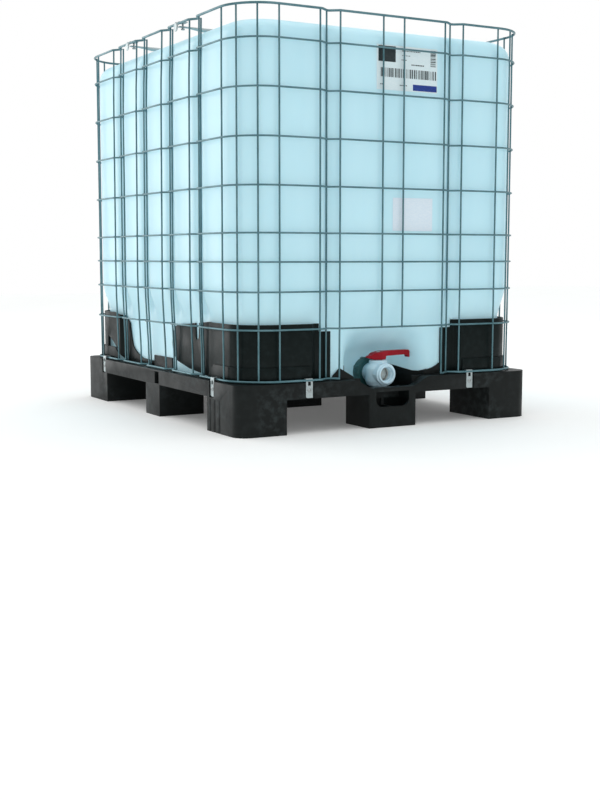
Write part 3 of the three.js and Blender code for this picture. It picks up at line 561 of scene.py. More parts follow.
def hoop_path(out):
    """The closed plan of a hoop that runs at a distance outside the uprights' plane."""
    path = []
    for degrees, half, distance, grooves, _ in FACES:
        line = [(-half, out)] + face_points(half, grooves, out) + [(half, out)]
        for along, off in filleted(line, 0.01, 3):
            path.append(on_face(degrees, distance, along, off))
        centre = on_face(degrees, distance - CORNER, half, 0)
        for step in range(1, 14):
            a = math.radians(degrees - 90 + 90 * step / 14)
            radius = CORNER + out
            path.append((centre[0] + radius * math.cos(a), centre[1] + radius * math.sin(a)))
    return path


def upright_places():
    """Where the uprights stand in plan."""
    places = []
    for degrees, half, distance, grooves, plain in FACES:
        for centre in grooves:
            for along, out in ((-GROOVE_HALF - 0.003, 0), (0, -GROOVE_DEPTH), (GROOVE_HALF + 0.003, 0)):
                places.append(on_face(degrees, distance, centre + along, out))
        for along in plain:
            places.append(on_face(degrees, distance, along, 0))
        centre = on_face(degrees, distance - CORNER, half, 0)
        for step in range(4):
            a = math.radians(degrees - 90 + 30 * step)
            places.append((centre[0] + CORNER * math.cos(a), centre[1] + CORNER * math.sin(a)))
    return places


def weld_blobs(bm, places, out):
    """A small squashed bead of metal where a hoop is welded to an upright."""
    for x, y in places:
        at_end = abs(y) / HALF_Y >= abs(x) / HALF_X
        outward = Vector((0, y / HALF_Y, 0) if at_end else (x / HALF_X, 0, 0)).normalized()
        for z in HOOPS:
            centre = bow((x, y, z)) + outward * (out / 2)
            made = bmesh.ops.create_icosphere(bm, subdivisions=1, radius=1.0)
            matrix = Matrix.Translation(centre) @ Matrix.Diagonal((0.0034, 0.0034, 0.0038, 1))
            bmesh.ops.transform(bm, matrix=matrix, verts=made["verts"])


def build_cage(material):
    out = UPRIGHT_R + HOOP_R - 0.0006
    bm = bmesh.new()
    path = hoop_path(out)
    for z in HOOPS:
        tube(bm, [bow((x, y, z)) for x, y in path], HOOP_R, 8, closed=True)
    frame_path = hoop_path(out + 0.0004)
    tube(bm, [(x, y, TOP_HOOP) for x, y in frame_path], FRAME_R, 10, closed=True)
    # The bottom hoop starts and ends at the valve's gap.
    start = next(i for i, (x, y) in enumerate(frame_path) if y < 0 and x > VALVE_GAP and x < 0.3)
    loop = frame_path[start:] + frame_path[:start]
    open_loop = [p for p in loop if not (p[1] < -0.5 and abs(p[0]) < VALVE_GAP)]
    tube(bm, [(x, y, BOTTOM_HOOP) for x, y in open_loop], FRAME_R, 10)
    places = upright_places()
    for x, y in places:
        at_valve = y < 0 and abs(x) < VALVE_GAP
        low = HOOPS[-1] - 0.003 if at_valve else BOTTOM_HOOP - 0.002
        steps = 14
        line = [bow((x, y, low + (TOP_HOOP + 0.002 - low) * i / steps)) for i in range(steps + 1)]
        tube(bm, line, UPRIGHT_R, 8)
    weld_blobs(bm, places, out)
    nodes = ["cage_front_upper", "cage_front_lower_left", "cage_front_lower_right"]
    nodes += ["cage_back", "cage_left", "cage_right"]
    nodes += [f"cage_corner_{end}_{side}" for end in ("front", "back") for side in ("left", "right")]
    place("wire_cage", bm, material, angle=60, replaces=nodes)


# ---- the bottle

BOTTLE_LOW, BOTTLE_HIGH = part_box("bottle")
SWELL = 0.021  # how far the filled wall stands out above the corner guards
FOOT_X, FOOT_Y = BOTTLE_HIGH.x - SWELL, BOTTLE_HIGH.y - SWELL
TANK_CORNER = 0.084  # of the foot
TANK_TOP = 1.128
TOP_ROUND, FOOT_ROUND = 0.045, 0.05
# How far out the rings that close the top are, as a share, and how far they stand above it.
TOP_RINGS = ((0.8, 0.0012), (0.55, 0.0018), (0.34, 0.0018), (0.27, 0.0018), (0.235, 0.006), (0.2, 0.0065))
RECESS_DEPTH = 0.119


def recess_depth(x, z):
    """How far the front is pushed in around the valve."""
    across = smoothstep(0.156 - abs(x), 0.0, 0.094)
    above = smoothstep(0.31 - z, 0.0, 0.12)
    return RECESS_DEPTH * across * above


def stand_out(z):
    return SWELL * smoothstep(z, 0.3, 0.4)


def swell(degrees, along, half, z):
    """How far the bottle's wall stands out of the foot's plane: it bulges between the grooves of the cage."""
    long = degrees in (90, 270)
    grooves = SIDE_GROOVES if long else FRONT_GROOVES
    dent = sum(math.exp(-((along - centre) / 0.0175) ** 2) for centre in grooves)
    fluted = smoothstep(z, 0.29, 0.345) * (1 - smoothstep(z, 1.1, 1.127))
    crown = math.cos(min(abs(along) / (half + 0.05), 1) * math.pi / 2) ** 0.7
    full = smoothstep(z, 0.3, 0.44) * (1 - smoothstep(z, 0.92, 1.09))
    height = 0.0045 if long else 0.0016
    return stand_out(z) + height * crown * full - (0.0145 + height * crown * full * 0.5) * dent * fluted


def bottle_ring(z, inset):
    ring = []
    corner = TANK_CORNER + stand_out(z) - inset * 0.55
    for degrees in (0, 90, 180, 270):
        reach, distance = (FOOT_X, FOOT_Y) if degrees in (0, 180) else (FOOT_Y, FOOT_X)
        half = reach + stand_out(z) - inset - corner
        steps = 64 if degrees in (0, 180) else 88
        for i in range(steps):
            along = -half + 2 * half * i / steps
            out = swell(degrees, along, half, z) - inset
            x, y = on_face(degrees, distance, along, out)
            if degrees == 0 and recess_depth(x, z) > 0:
                depth = recess_depth(x, z)
                y = max(y, y - inset + depth + 0.25 * inset * smoothstep(depth, 0.0, 0.05))
            ring.append((x, y, z))
        centre = on_face(degrees, distance + stand_out(z) - inset - corner, half, 0)
        for step in range(12):
            a = math.radians(degrees - 90 + 90 * step / 12)
            ring.append((centre[0] + corner * math.cos(a), centre[1] + corner * math.sin(a), z))
    return ring


def build_bottle(material):
    low, high = BOTTLE_LOW.z, TANK_TOP
    levels = []
    steps = 7
    for i in range(steps):
        a = math.pi / 2 * i / steps
        levels.append((low + FOOT_ROUND * (1 - math.cos(a)), FOOT_ROUND * (1 - math.sin(a))))
    straight = 64
    for i in range(straight + 1):
        levels.append((low + FOOT_ROUND + (high - TOP_ROUND - low - FOOT_ROUND) * i / straight, 0.0))
    for i in range(1, steps + 1):
        a = math.pi / 2 * i / steps
        levels.append((high - TOP_ROUND + TOP_ROUND * math.sin(a), TOP_ROUND * (1 - math.cos(a))))
    bm = bmesh.new()
    rings = [[bm.verts.new(p) for p in bottle_ring(z, inset)] for z, inset in levels]
    # The top closes in shrinking rings up to the neck, which stands on a slightly raised boss.
    shoulder = rings[-1]
    for share, rise in TOP_RINGS:
        ring = []
        for v in shoulder:
            angle = math.atan2(v.co.y, v.co.x)
            round_to = Vector((math.cos(angle), math.sin(angle))) * (share * 0.45)
            keep = Vector((v.co.x, v.co.y)) * share
            blend = smoothstep(share, 0.3, 0.8)
            at = keep * blend + round_to * (1 - blend)
            ring.append(bm.verts.new((at.x, at.y, high + rise)))
        rings.append(ring)
    skin(bm, rings)
    place("blown_bottle", bm, material, angle=50, replaces=["bottle"])

    outline = [
        (0.0755, 1.124), (0.084, 1.124), (0.084, 1.1295), (0.08, 1.13), (0.08, 1.1505),
        (0.0785, 1.152), (0.0745, 1.152), (0.073, 1.1505), (0.073, 1.128),
    ]
    neck = lathe(outline, 96, closed=True)
    thread_of(neck, radius=0.0798, low=1.1325, pitch=0.008, turns=2.1, height=0.001)
    place("filling_neck", neck, material, angle=40)
    # A dark disc just below the neck's rim is painted shade, standing for the dark inside seen through the
    # mouth.
    well = lathe([(0.0, 1.1292), (0.066, 1.129), (0.0735, 1.13), (0.0735, 1.127), (0.0, 1.1265)])
    dark = moulded("neck_mouth_painted_shade", (0.1, 0.16, 0.18), (0.13, 0.2, 0.22), 0.5)
    place("neck_opening_shadow", well, dark)

    profile = [(0.026, 0.0), (0.035, 0.0), (0.036, 0.001), (0.036, 0.026), (0.026, 0.026)]
    stub = lathe(profile, closed=True)
    thread_of(stub, radius=0.0358, low=0.004, pitch=0.006, turns=1.6, height=0.0008)
    moved(stub, turned_to_front(0, -0.4362, 0.15))
    place("outlet_stub", stub, material, angle=40)


def thread_of(bm, radius, low, pitch, turns, height, half=0.0012):
    """A screw thread's ridge, wound about +Z."""
    steps = int(64 * turns)
    sections = []
    for i in range(steps + 1):
        a = 2 * math.pi * i / 64
        z = low + pitch * i / 64
        fade = min(i, steps - i, 6) / 6
        crest = radius + height * max(fade, 0.05)
        around = (math.cos(a), math.sin(a))
        ridge = ((radius - 0.001, -half), (crest, -half * 0.45), (crest, half * 0.45), (radius - 0.001, half))
        sections.append([bm.verts.new((around[0] * r, around[1] * r, z + h)) for r, h in ridge])
    skin(bm, sections)


# ---- pallet

def cad_copy(node):
    """The solid of a CAD node, with its flat faces whole."""
    bm = bmesh_of(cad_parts[node].data)
    bmesh.ops.remove_doubles(bm, verts=bm.verts, dist=1e-6)
    bmesh.ops.dissolve_limit(bm, angle_limit=math.radians(1), verts=bm.verts, edges=bm.edges)
    return bm


def build_pallet(material):
    """The pallet's solid with softened edges, and the slots and flutes that the mould leaves in it."""
    tools = []
    for side in (-1, 1):
        outer = side * 0.5

        def cut_in(depth, y_range, z_range):
            x0, x1 = sorted((outer + side * 0.01, outer - side * depth))
            tools.append(block((x0, y_range[0], z_range[0]), (x1, y_range[1], z_range[1])))

        cut_in(0.012, (-0.05, -0.018) if side < 0 else (0.018, 0.05), (0.101, 0.1385))
        for along in (0.425, 0.455, 0.485):
            cut_in(0.0008, sorted((side * (along - 0.005), side * (along + 0.005))), (-0.01, 0.092))
    mesh = softened(boolean(cad_copy("pallet"), tools), 0.0035, 3, 28)
    place_mesh("moulded_pallet", mesh, material, angle=40, replaces=["pallet"])
    for side in ("left", "right"):
        node = f"valve_bay_wall_{side}"
        mesh = softened(loose(cad_copy(node)), 0.0014, 3, 28)
        place_mesh(f"{node}_moulding", mesh, material, angle=40, replaces=[node])


def guard_path(front_end, side_end, inset, steps=20):
    """The plan of a guard. It stands nearer to the cage round the corner than along its wings."""
    near = inset - 0.013
    radius = CORNER - near
    centre = (-HALF_X + CORNER, -HALF_Y + CORNER)
    front_bend, side_bend, run = 0.258, 0.352, 0.016
    path = []
    if front_end < front_bend:
        path += [(-front_end, -HALF_Y + inset), (-front_bend + run, -HALF_Y + inset)]
    path.append((-max(front_end, front_bend), -HALF_Y + near))
    for i in range(steps + 1):
        a = -math.pi / 2 - math.pi / 2 * i / steps
        path.append((centre[0] + radius * math.cos(a), centre[1] + radius * math.sin(a)))
    path.append((-HALF_X + near, -max(side_end, side_bend)))
    if side_end < side_bend:
        path += [(-HALF_X + inset, -side_bend + run), (-HALF_X + inset, -side_end)]
    return path


def lobe_wing(bottom, top):
    points = [(-0.62, bottom), (-0.332, bottom), (-0.285, 0.149), (-0.184, 0.158), (-0.142, 0.166)]
    for i in range(21):
        a = math.pi * (-0.4 + 0.85 * i / 20)
        points.append((-0.118 + 0.059 * math.cos(a), 0.23 + 0.059 * math.sin(a)))
    points += [
        (-0.182, 0.292), (-0.2325, 0.297), (-0.2345, 0.254), (-0.239, 0.248), (-0.248, 0.248),
        (-0.2525, 0.254), (-0.257, 0.298), (-0.33, top), (-0.62, top),
    ]
    return points


def curve_through(start, control, end, steps=8):
    """The points of a curve that bends towards control, without the first."""
    a, b, c = Vector(start), Vector(control), Vector(end)
    shares = [i / steps for i in range(1, steps + 1)]
    return [tuple(a * (1 - t) ** 2 + b * 2 * t * (1 - t) + c * t ** 2) for t in shares]


def leaning_wing(bottom, top):
    points = [(-0.62, bottom), (-0.462, bottom), (-0.462, 0.222)]
    points += curve_through((-0.462, 0.222), (-0.4, 0.205), (-0.33, bottom))
    points += [(-0.087, bottom), (-0.087, 0.161), (-0.178, 0.163)]
    points += curve_through((-0.178, 0.163), (-0.25, 0.178), (-0.27, 0.202))
    points += curve_through((-0.27, 0.202), (-0.284, 0.232), (-0.292, 0.272))
    points += [(-0.327, 0.295), (-0.4, top), (-0.62, top)]
    return points


def guard_sheet(wing, bottom, top, inset):
    """The thin moulded panel of a guard: its plan, cut to the outline of its wing."""
    front_end, side_end = 0.19, 0.058
    outer = guard_path(front_end, side_end, inset)
    inner = guard_path(front_end, side_end, inset + 0.0045)
    panel = prism_mesh(outer + inner[::-1], "z", bottom, top)
    corner = -HALF_X + CORNER
    side = prism_mesh(wing, "x", -0.5, corner)
    front = prism_mesh([
        (corner - 0.001, bottom - 0.01), (-0.15, bottom - 0.01), (-0.15, 0.282), (-0.226, 0.282),
        (-0.228, 0.2835), (-0.228, top + 0.01), (corner - 0.001, top + 0.01),
    ], "y", -0.61, -0.48)
    keep = as_bmesh(boolean(side, [front], "UNION"))
    shaped = as_bmesh(boolean(panel, [keep], "INTERSECT"))
    return softened(loose(shaped), 0.0011, 2, 35)


def guard_foot(bottom, inset):
    """The raised band along the foot of a guard, which slopes down at its side end."""
    top = 0.19
    outer = guard_path(0.262, 0.356, inset - 0.004)
    inner = guard_path(0.262, 0.356, inset + 0.0012)
    band = prism_mesh(outer + inner[::-1], "z", bottom, 0.187)
    slope = [(-0.62, bottom - 0.01), (-0.34, bottom - 0.01), (-0.366, 0.17), (-0.392, top), (-0.62, top)]
    rest = block((-0.367, -0.62, bottom - 0.01), (-0.2, -0.48, top))
    keep = as_bmesh(boolean(prism_mesh(slope, "x", -0.5, -0.366), [rest], "UNION"))
    return softened(loose(as_bmesh(boolean(band, [keep], "INTERSECT"))), 0.0012, 2, 35)


def build_guards(material):
    low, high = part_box("corner_guard_front_left")
    inset = 0.0252
    for wing, homes in (
        (lobe_wing, (("front_left", Matrix.Identity(4)), ("back_right", about_z(180)))),
        (leaning_wing, (
            ("front_right", Matrix.Diagonal((-1, 1, 1, 1))), ("back_left", Matrix.Diagonal((1, -1, 1, 1))),
        )),
    ):
        mesh = guard_sheet(wing(low.z, high.z), low.z, high.z, inset)
        foot = guard_foot(low.z, inset)
        for corner, matrix in homes:
            node = f"corner_guard_{corner}"
            sheet, band = moved(bmesh_of(mesh), matrix), moved(bmesh_of(foot), matrix)
            place(f"{node}_sheet", sheet, material, replaces=[node])
            place(f"{node}_sheet_foot", band, material)


# ---- clips and tie bars

CLIPS = (
    ("front_left", 0), ("front_right", 0), ("back_left", 180), ("back_right", 180),
    ("left_front", 270), ("left_back", 270), ("right_front", 90), ("right_back", 90),
)


def clip_home(name, degrees):
    """The turn and move that take a clip from the origin, facing -Y, to its place."""
    low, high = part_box(f"clip_{name}")
    middle = (low + high) / 2
    if degrees in (0, 180):
        x, y, depth = middle.x, (low.y if degrees == 0 else high.y), high.y - low.y
    else:
        x, y, depth = (low.x if degrees == 270 else high.x), middle.y, high.x - low.x
    return Matrix.Translation((x, y, 0)) @ about_z(degrees), depth, low.z, high.z


def with_normals(path):
    """Each point of a path in a plane, with the direction to its left."""
    for i, p in enumerate(path):
        tangent = (path[min(i + 1, len(path) - 1)] - path[max(i - 1, 0)]).normalized()
        yield p, Vector((-tangent.y, tangent.x, 0))


def bent_plate(points, thickness, radius, steps, axis, half):
    """A plate bent along its middle line, to a half width on both sides along an axis."""
    path = list(with_normals(filleted([(*p, 0) for p in points], radius, steps)))
    left = [(p + normal * thickness / 2).to_2d() for p, normal in path]
    right = [(p - normal * thickness / 2).to_2d() for p, normal in path]
    return prism_mesh(left + right[::-1], axis, -half, half)


def clip_plate(depth, low, high):
    """A bent plate with a rounded foot, and a slot punched above its screw."""
    half, t, corner = 0.011, 0.0018, 0.005
    near, far = t / 2, depth - t / 2
    line = [(near, low), (near, high - t / 2), (far, high - t / 2), (far, high - 0.007)]
    bm = bent_plate(line, t, 0.002, 4, "x", half)
    slot = [(-0.0045, high - 0.02), (0.0045, high - 0.02), (0.0045, high - 0.009), (-0.0045, high - 0.009)]
    tools = [prism_mesh(filleted(slot, 0.002, 4, closed=True), "y", -0.004, 0.0045)]
    for side in (-1, 1):
        x0, x1 = sorted((side * half * 1.02, side * (half - corner)))
        piece = block((x0, -0.01, low - 0.001), (x1, 0.01, low + corner))
        pin = lathe([(0, -0.012), (corner, -0.012), (corner, 0.012), (0, 0.012)], 32)
        moved(pin, turned_to_front(side * (half - corner), 0, low + corner))
        tools.append(as_bmesh(boolean(piece, [pin])))
    return bmesh_of(softened(boolean(bm, tools), 0.0004, 2, 35))


def build_clips(zinc, screw_material):
    for name, degrees in CLIPS:
        home, depth, low, high = clip_home(name, degrees)
        plate = moved(clip_plate(depth, low, high), home)
        place(f"clip_plate_{name}", plate, zinc, replaces=[f"clip_{name}"])
        screw = lathe([
            (0.0, 0.003), (0.0022, 0.0029), (0.0042, 0.0023), (0.0055, 0.001), (0.0058, 0.0),
            (0.0058, -0.0004), (0.0022, -0.0004), (0.0022, -0.018), (0.0, -0.02),
        ], 32)
        cross = block((-0.003, -0.0007, 0.0014), (0.003, 0.0007, 0.005))
        cross_two = block((-0.0007, -0.003, 0.0014), (0.0007, 0.003, 0.005))
        head = as_bmesh(boolean(screw, [cross, cross_two]))
        moved(head, home @ turned_to_front(0, -0.0001, 0.121))
        place(f"clip_pan_screw_{name}", head, screw_material, replaces=[f"clip_screw_{name}"])


def pressed_bar(low, high):
    """A pressed section: rounded on top, flat below, flattened to a tongue at both ends."""
    y = (low.y + high.y) / 2
    end_z, middle_z = high.z - 0.004, low.z + 0.004
    path = [(low.x, end_z), (-0.452, end_z), (-0.405, middle_z)]
    path += [(0.405, middle_z), (0.452, end_z), (high.x, end_z)]
    bm = bmesh.new()
    rings = []
    for p, normal in with_normals(filleted([(*p, 0) for p in path], 0.022, 6)):
        flat = 1 - smoothstep(abs(p.x), 0.415, 0.455)
        ring = []
        for k in range(16):
            a = 2 * math.pi * k / 16
            across = 0.008 * math.copysign(abs(math.cos(a)) ** 0.6, math.cos(a))
            up = (0.002 + 0.0036 * flat) * math.copysign(abs(math.sin(a)) ** 0.8, math.sin(a))
            at = p + normal * up
            ring.append(bm.verts.new((at.x, y + across, at.y)))
        rings.append(ring)
    skin(bm, rings)
    return bm


def clamp_plate(low, high):
    """The saddle at the left end of a bar: a bent plate with a round disc pressed on its outside."""
    outer, inner = -max(abs(low.x), abs(high.x)), -min(abs(low.x), abs(high.x))
    t = 0.0022
    line = [(outer + t / 2, low.z), (outer + t / 2, high.z - t / 2), (inner, high.z - t / 2)]
    shaped = bmesh_of(softened(loose(bent_plate(line, t, 0.004, 5, "y", 0.015)), 0.0005, 2, 35))
    section = [(0, -0.0012), (0.0135, -0.0012), (0.0135, 0.0006), (0.01, 0.0022), (0, 0.0022)]
    disc = turned(section, 0.0006, 40)
    turn = Matrix.Rotation(-math.pi / 2, 4, "Y")
    take_in(shaped, moved(disc, Matrix.Translation((outer - 0.0004, 0, high.z - 0.0136)) @ turn))
    return shaped


def build_tie_bars(zinc, dark):
    for end in ("front", "back"):
        low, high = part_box(f"tie_bar_{end}")
        bar = pressed_bar(low, high)
        place(f"tie_bar_{end}_pressed", bar, zinc, angle=45, replaces=[f"tie_bar_{end}"])
        for side_name in ("left", "right"):
            mirror = Matrix.Identity(4) if side_name == "left" else Matrix.Diagonal((-1, 1, 1, 1))
            flip = Matrix.Translation((0, (low.y + high.y) / 2, 0)) @ mirror
            s_low, s_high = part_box(f"tie_bar_saddle_{end}_{side_name}")
            clamp = moved(clamp_plate(s_low, s_high), flip)
            saddles = [f"tie_bar_saddle_{end}_{side_name}"]
            place(f"tie_bar_clamp_{end}_{side_name}", clamp, zinc, replaces=saddles)
            b_low, b_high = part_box(f"tie_bar_bolt_{end}_{side_name}")
            foot, tip = b_low.z, b_high.z
            bolt = lathe([
                (0, foot), (0.0052, foot), (0.006, foot + 0.0008), (0.006, foot + 0.0038),
                (0.003, foot + 0.004), (0.003, tip - 0.0004), (0.0026, tip), (0, tip),
            ], 6)
            moved(bolt, flip @ Matrix.Translation((-0.468, 0, 0)))
            bolts = [f"tie_bar_bolt_{end}_{side_name}"]
            place(f"tie_bar_hex_bolt_{end}_{side_name}", bolt, dark, angle=20, replaces=bolts)


# ---- screw cap

def build_cap(material, seal):
    low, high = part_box("screw_cap")
    outer, inner = 0.0885, 0.0818
    ribs, spokes = 48, 8
    body = lathe([
        (0.0186, high.z - 0.0052), (0.0186, high.z - 0.0008), (0.021, high.z - 0.0002),
        (0.024, high.z - 0.003), (0.056, high.z - 0.003), (0.06, high.z - 0.0006),
        (0.083, high.z - 0.0006), (0.0868, high.z - 0.0022), (outer, high.z - 0.005),
        (outer, low.z + 0.001), (0.0878, low.z), (0.0826, low.z), (inner, low.z + 0.001),
        (inner, high.z - 0.0055), (0.024, high.z - 0.0055),
    ], 128, closed=True)
    for i in range(ribs):
        rib = lathe([(0, 0), (0.0024, 0), (0.0024, 0.02), (0.0014, 0.0214), (0, 0.0214)], 10)
        at = Matrix.Translation((outer - 0.0002, 0, low.z + 0.0018))
        take_in(body, moved(rib, about_z(360 * i / ribs) @ at))
    for i in range(spokes):
        spoke = block((0.026, -0.0014, high.z - 0.004), (0.0585, 0.0014, high.z - 0.0009))
        take_in(body, moved(spoke, about_z(360 * i / spokes)))
    place("filling_cap", body, material, body="cap", angle=30, replaces=["screw_cap"])

    vent_low, vent_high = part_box("vent_plug")
    foot, top = vent_low.z, vent_high.z
    vent = lathe([
        (0, foot), (0.014, foot), (0.0178, high.z - 0.005), (0.0178, top - 0.0012),
        (0.0168, top), (0.012, top), (0.011, top - 0.0016), (0, top - 0.0016),
    ], 48)
    take_in(vent, block((-0.0108, -0.0016, top - 0.002), (0.0108, 0.0016, top - 0.0002)))
    place("vent_insert", vent, material, body="cap", angle=30, replaces=["vent_plug"])

    g_low, g_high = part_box("cap_gasket")
    mid = (g_low.z + g_high.z) / 2
    turns = [2 * math.pi * k / 12 for k in range(12)]
    section = [(0.0765 + 0.0024 * math.cos(a), mid + 0.0009 * math.sin(a)) for a in turns]
    gasket = lathe(section, 96, closed=True)
    place("cap_seal_ring", gasket, seal, body="cap_seal", angle=60, replaces=["cap_gasket"])


# ---- ball valve

VALVE_Y, VALVE_Z = -0.52, 0.15
UPRIGHT = Matrix.Translation((0, VALVE_Y, 0))  # from the origin to the stem's line
FORWARD = turned_to_front(0, VALVE_Y, VALVE_Z)  # from +Z to the line of the outlet, seen from the ball


def valve_body():
    """Barrel, mouth, rear flange and ribs in one, bored for the ball, the way through and the stem."""
    segments = 72
    barrel = turned([
        (0, 0.1085), (0.02, 0.1085), (0.033, 0.1165), (0.0375, 0.128), (0.0375, 0.166), (0.031, 0.1765),
        (0.027, 0.1795), (0.027, 0.1895), (0, 0.1895),
    ], 0.003, segments)
    mouth = turned([(0, 0), (0.032, 0), (0.032, 0.0395), (0, 0.0395)], 0.0012, segments)
    rear = turned([
        (0, 0), (0.036, 0), (0.036, 0.0046), (0.028, 0.007), (0.028, 0.0545), (0, 0.0545),
    ], 0.0008, segments)
    added = [moved(mouth, FORWARD), moved(rear, turned_to_front(0, VALVE_Y + 0.0547, VALVE_Z))]
    for degrees in (0, 60, 120, 180, 240, 300):
        rib = block((0.029, -0.0016, 0.004), (0.0335, 0.0016, 0.034))
        added.append(moved(rib, FORWARD @ about_z(degrees)))
    solid = as_bmesh(boolean(moved(barrel, UPRIGHT), added, "UNION"))
    seat_bore = lathe([(0, -0.0253), (0.0264, -0.0253), (0.0264, 0.055), (0, 0.055)], segments)
    through = lathe([(0, -0.08), (0.0192, -0.08), (0.0192, 0.03), (0, 0.03)], segments)
    stem_bore = lathe([
        (0, 0.169), (0.0083, 0.169), (0.0083, 0.1838), (0.012, 0.1838), (0.012, 0.195), (0, 0.195),
    ], 48)
    bores = [moved(seat_bore, FORWARD), moved(through, FORWARD), moved(stem_bore, UPRIGHT)]
    return evaluated(boolean(solid, bores))


def valve_ball():
    """A ball with its bore along X, as it stands when the valve is closed, and a slot for the stem."""
    ball = bmesh.new()
    bmesh.ops.create_uvsphere(ball, u_segments=64, v_segments=40, radius=0.0249)
    centre = Matrix.Translation((0, VALVE_Y, VALVE_Z))
    bore = lathe([(0, -0.03), (0.0172, -0.03), (0.0172, 0.03), (0, 0.03)])
    moved(bore, centre @ Matrix.Rotation(math.pi / 2, 4, "Y"))
    slot = block((-0.007, VALVE_Y - 0.0034, VALVE_Z + 0.02), (0.007, VALVE_Y + 0.0034, VALVE_Z + 0.03))
    return softened(boolean(moved(ball, centre), [bore, slot]), 0.0006, 2, 40)


def build_valve(white, red, nut_material, seat_material, seal, steel):
    place_mesh("valve_body", valve_body(), white, angle=32, replaces=["valve_housing"])
    spout = turned([
        (0.0192, 0.0255), (0.0258, 0.0255), (0.0258, 0.0398), (0.0325, 0.0402), (0.0325, 0.0434),
        (0.0278, 0.044), (0.0278, 0.0488), (0.0268, 0.0498), (0.0236, 0.0498), (0.0222, 0.0485),
        (0.0222, 0.041), (0.0192, 0.0385),
    ], 0.0005, 72, 2, closed=True)
    moved(spout, FORWARD)
    place("outlet_ring", spout, white, angle=32, replaces=["outlet_spout"])

    pale = moulded("ball_plastic", (0.5, 0.52, 0.5), (0.58, 0.6, 0.57), 0.25, 0.3)
    place_mesh("ball", valve_ball(), pale, body="valve_core", replaces=["valve_ball"])

    def ring(r0, r1, h0, h1, radius, segments, home):
        section = [(r0, h0), (r1, h0), (r1, h1), (r0, h1)]
        return moved(turned(section, radius, segments, closed=True), home)

    for name, near, far in (("outlet_side", 0.0165, 0.025), ("bottle_side", -0.025, -0.0165)):
        seat = ring(0.0197, 0.0258, near, far, 0.0008, 64, FORWARD)
        place(f"seat_{name}", seat, seat_material, replaces=[f"ball_seat_{name}"])

    stem = turned([
        (0, 0.1752), (0.0079, 0.1752), (0.0079, 0.1898), (0.006, 0.1902), (0, 0.1902),
    ], 0.0005, 48)
    tongue = block((-0.0066, -0.003, 0.1706), (0.0066, 0.003, 0.177))
    square = block((-0.005, -0.005, 0.189), (0.005, 0.005, 0.2028))
    shaped = bmesh_of(softened(boolean(stem, [tongue, square], "UNION"), 0.0004, 2, 35))
    place("stem", moved(shaped, UPRIGHT), white, body="valve_core", replaces=["valve_stem"])
    packing = ring(0.0085, 0.0117, 0.1845, 0.1892, 0.0008, 48, UPRIGHT)
    place("stem_packing", packing, seal, replaces=["stem_seal"])
    gasket = ring(0.0266, 0.035, 0.0, 0.0023, 0.0006, 64, turned_to_front(0, -0.4625, VALVE_Z))
    place("outlet_flat_gasket", gasket, seal, replaces=["outlet_gasket"])

    build_union_nut(nut_material)
    build_lever(red, steel)


def build_union_nut(material):
    count = 8
    nut = turned([
        (0.0288, -0.007), (0.04, -0.007), (0.044, -0.004), (0.044, 0.0195), (0.0425, 0.0225),
        (0.037, 0.0225), (0.037, -0.0005), (0.0288, -0.0005),
    ], 0.001, 80, closed=True)
    plan = [(0.04, -0.0058), (0.0474, -0.0034), (0.0474, 0.0034), (0.04, 0.0058)]
    plan = filleted(plan, 0.0012, 3, closed=True)
    lugs = []
    for i in range(count):
        lugs.append(moved(prism_mesh(plan, "z", -0.006, 0.0165), about_z(360 * (i + 0.5) / count)))
    bm = bmesh_of(softened(boolean(nut, lugs, "UNION"), 0.0006, 2, 40))
    # Height runs to the back here, so the nut's front lip looks at -Y.
    moved(bm, Matrix.Translation((0, VALVE_Y + 0.05, VALVE_Z)) @ Matrix.Rotation(-math.pi / 2, 4, "X"))
    place("lugged_nut", bm, material, replaces=["union_nut"])


def build_lever(material, steel):
    side_view = rounded([
        (-0.019, 0.1915), (0.0188, 0.1915), (0.0188, 0.201), (0.086, 0.203), (0.0975, 0.201),
        (0.1, 0.1945), (0.1095, 0.1945), (0.1095, 0.209), (0.103, 0.2166), (0.05, 0.2168),
        (0.008, 0.2155), (-0.02, 0.21), (-0.027, 0.2045), (-0.0395, 0.2012), (-0.0395, 0.1968),
        (-0.03, 0.195),
    ], 0.004, closed=True)
    edge = rounded([
        (-0.0395, 0.007), (-0.024, 0.012), (-0.012, 0.0178), (0.0, 0.019), (0.012, 0.016),
        (0.028, 0.0105), (0.06, 0.0088), (0.098, 0.0088), (0.1085, 0.006), (0.1095, 0.0),
    ], 0.006)
    plan = edge + [(x, -y) for x, y in reversed(edge[:-1])]
    arm = prism_mesh(side_view, "y", -0.0192, 0.0192)
    shaped = as_bmesh(boolean(arm, [prism_mesh(plan, "z", 0.19, 0.219)], "INTERSECT"))
    socket = block((-0.0054, -0.0054, 0.19), (0.0054, 0.0054, 0.204))
    pocket = lathe([(0, 0.211), (0.007, 0.211), (0.007, 0.22), (0, 0.22)], 40)
    hole = lathe([(0, 0.19), (0.0032, 0.19), (0.0032, 0.22), (0, 0.22)], 24)
    hollow = block((0.026, -0.0058, 0.198), (0.094, 0.0058, 0.2085))
    bm = bmesh_of(softened(boolean(shaped, [socket, pocket, hole, hollow]), 0.0012, 3, 32))
    moved(bm, UPRIGHT)
    place("lever_handle", bm, material, body="valve_core", angle=40, replaces=["valve_lever"])

    screw = turned([
        (0, 0.1952), (0.0024, 0.1952), (0.0024, 0.2115), (0.006, 0.2115), (0.006, 0.214), (0.0048, 0.2154),
        (0, 0.2156),
    ], 0.0004, 36)
    cross = block((-0.0032, -0.0007, 0.2135), (0.0032, 0.0007, 0.219))
    head = moved(as_bmesh(boolean(screw, [cross])), UPRIGHT)
    place("lever_pan_screw", head, steel, body="valve_core", replaces=["lever_screw"])


# ---- labels

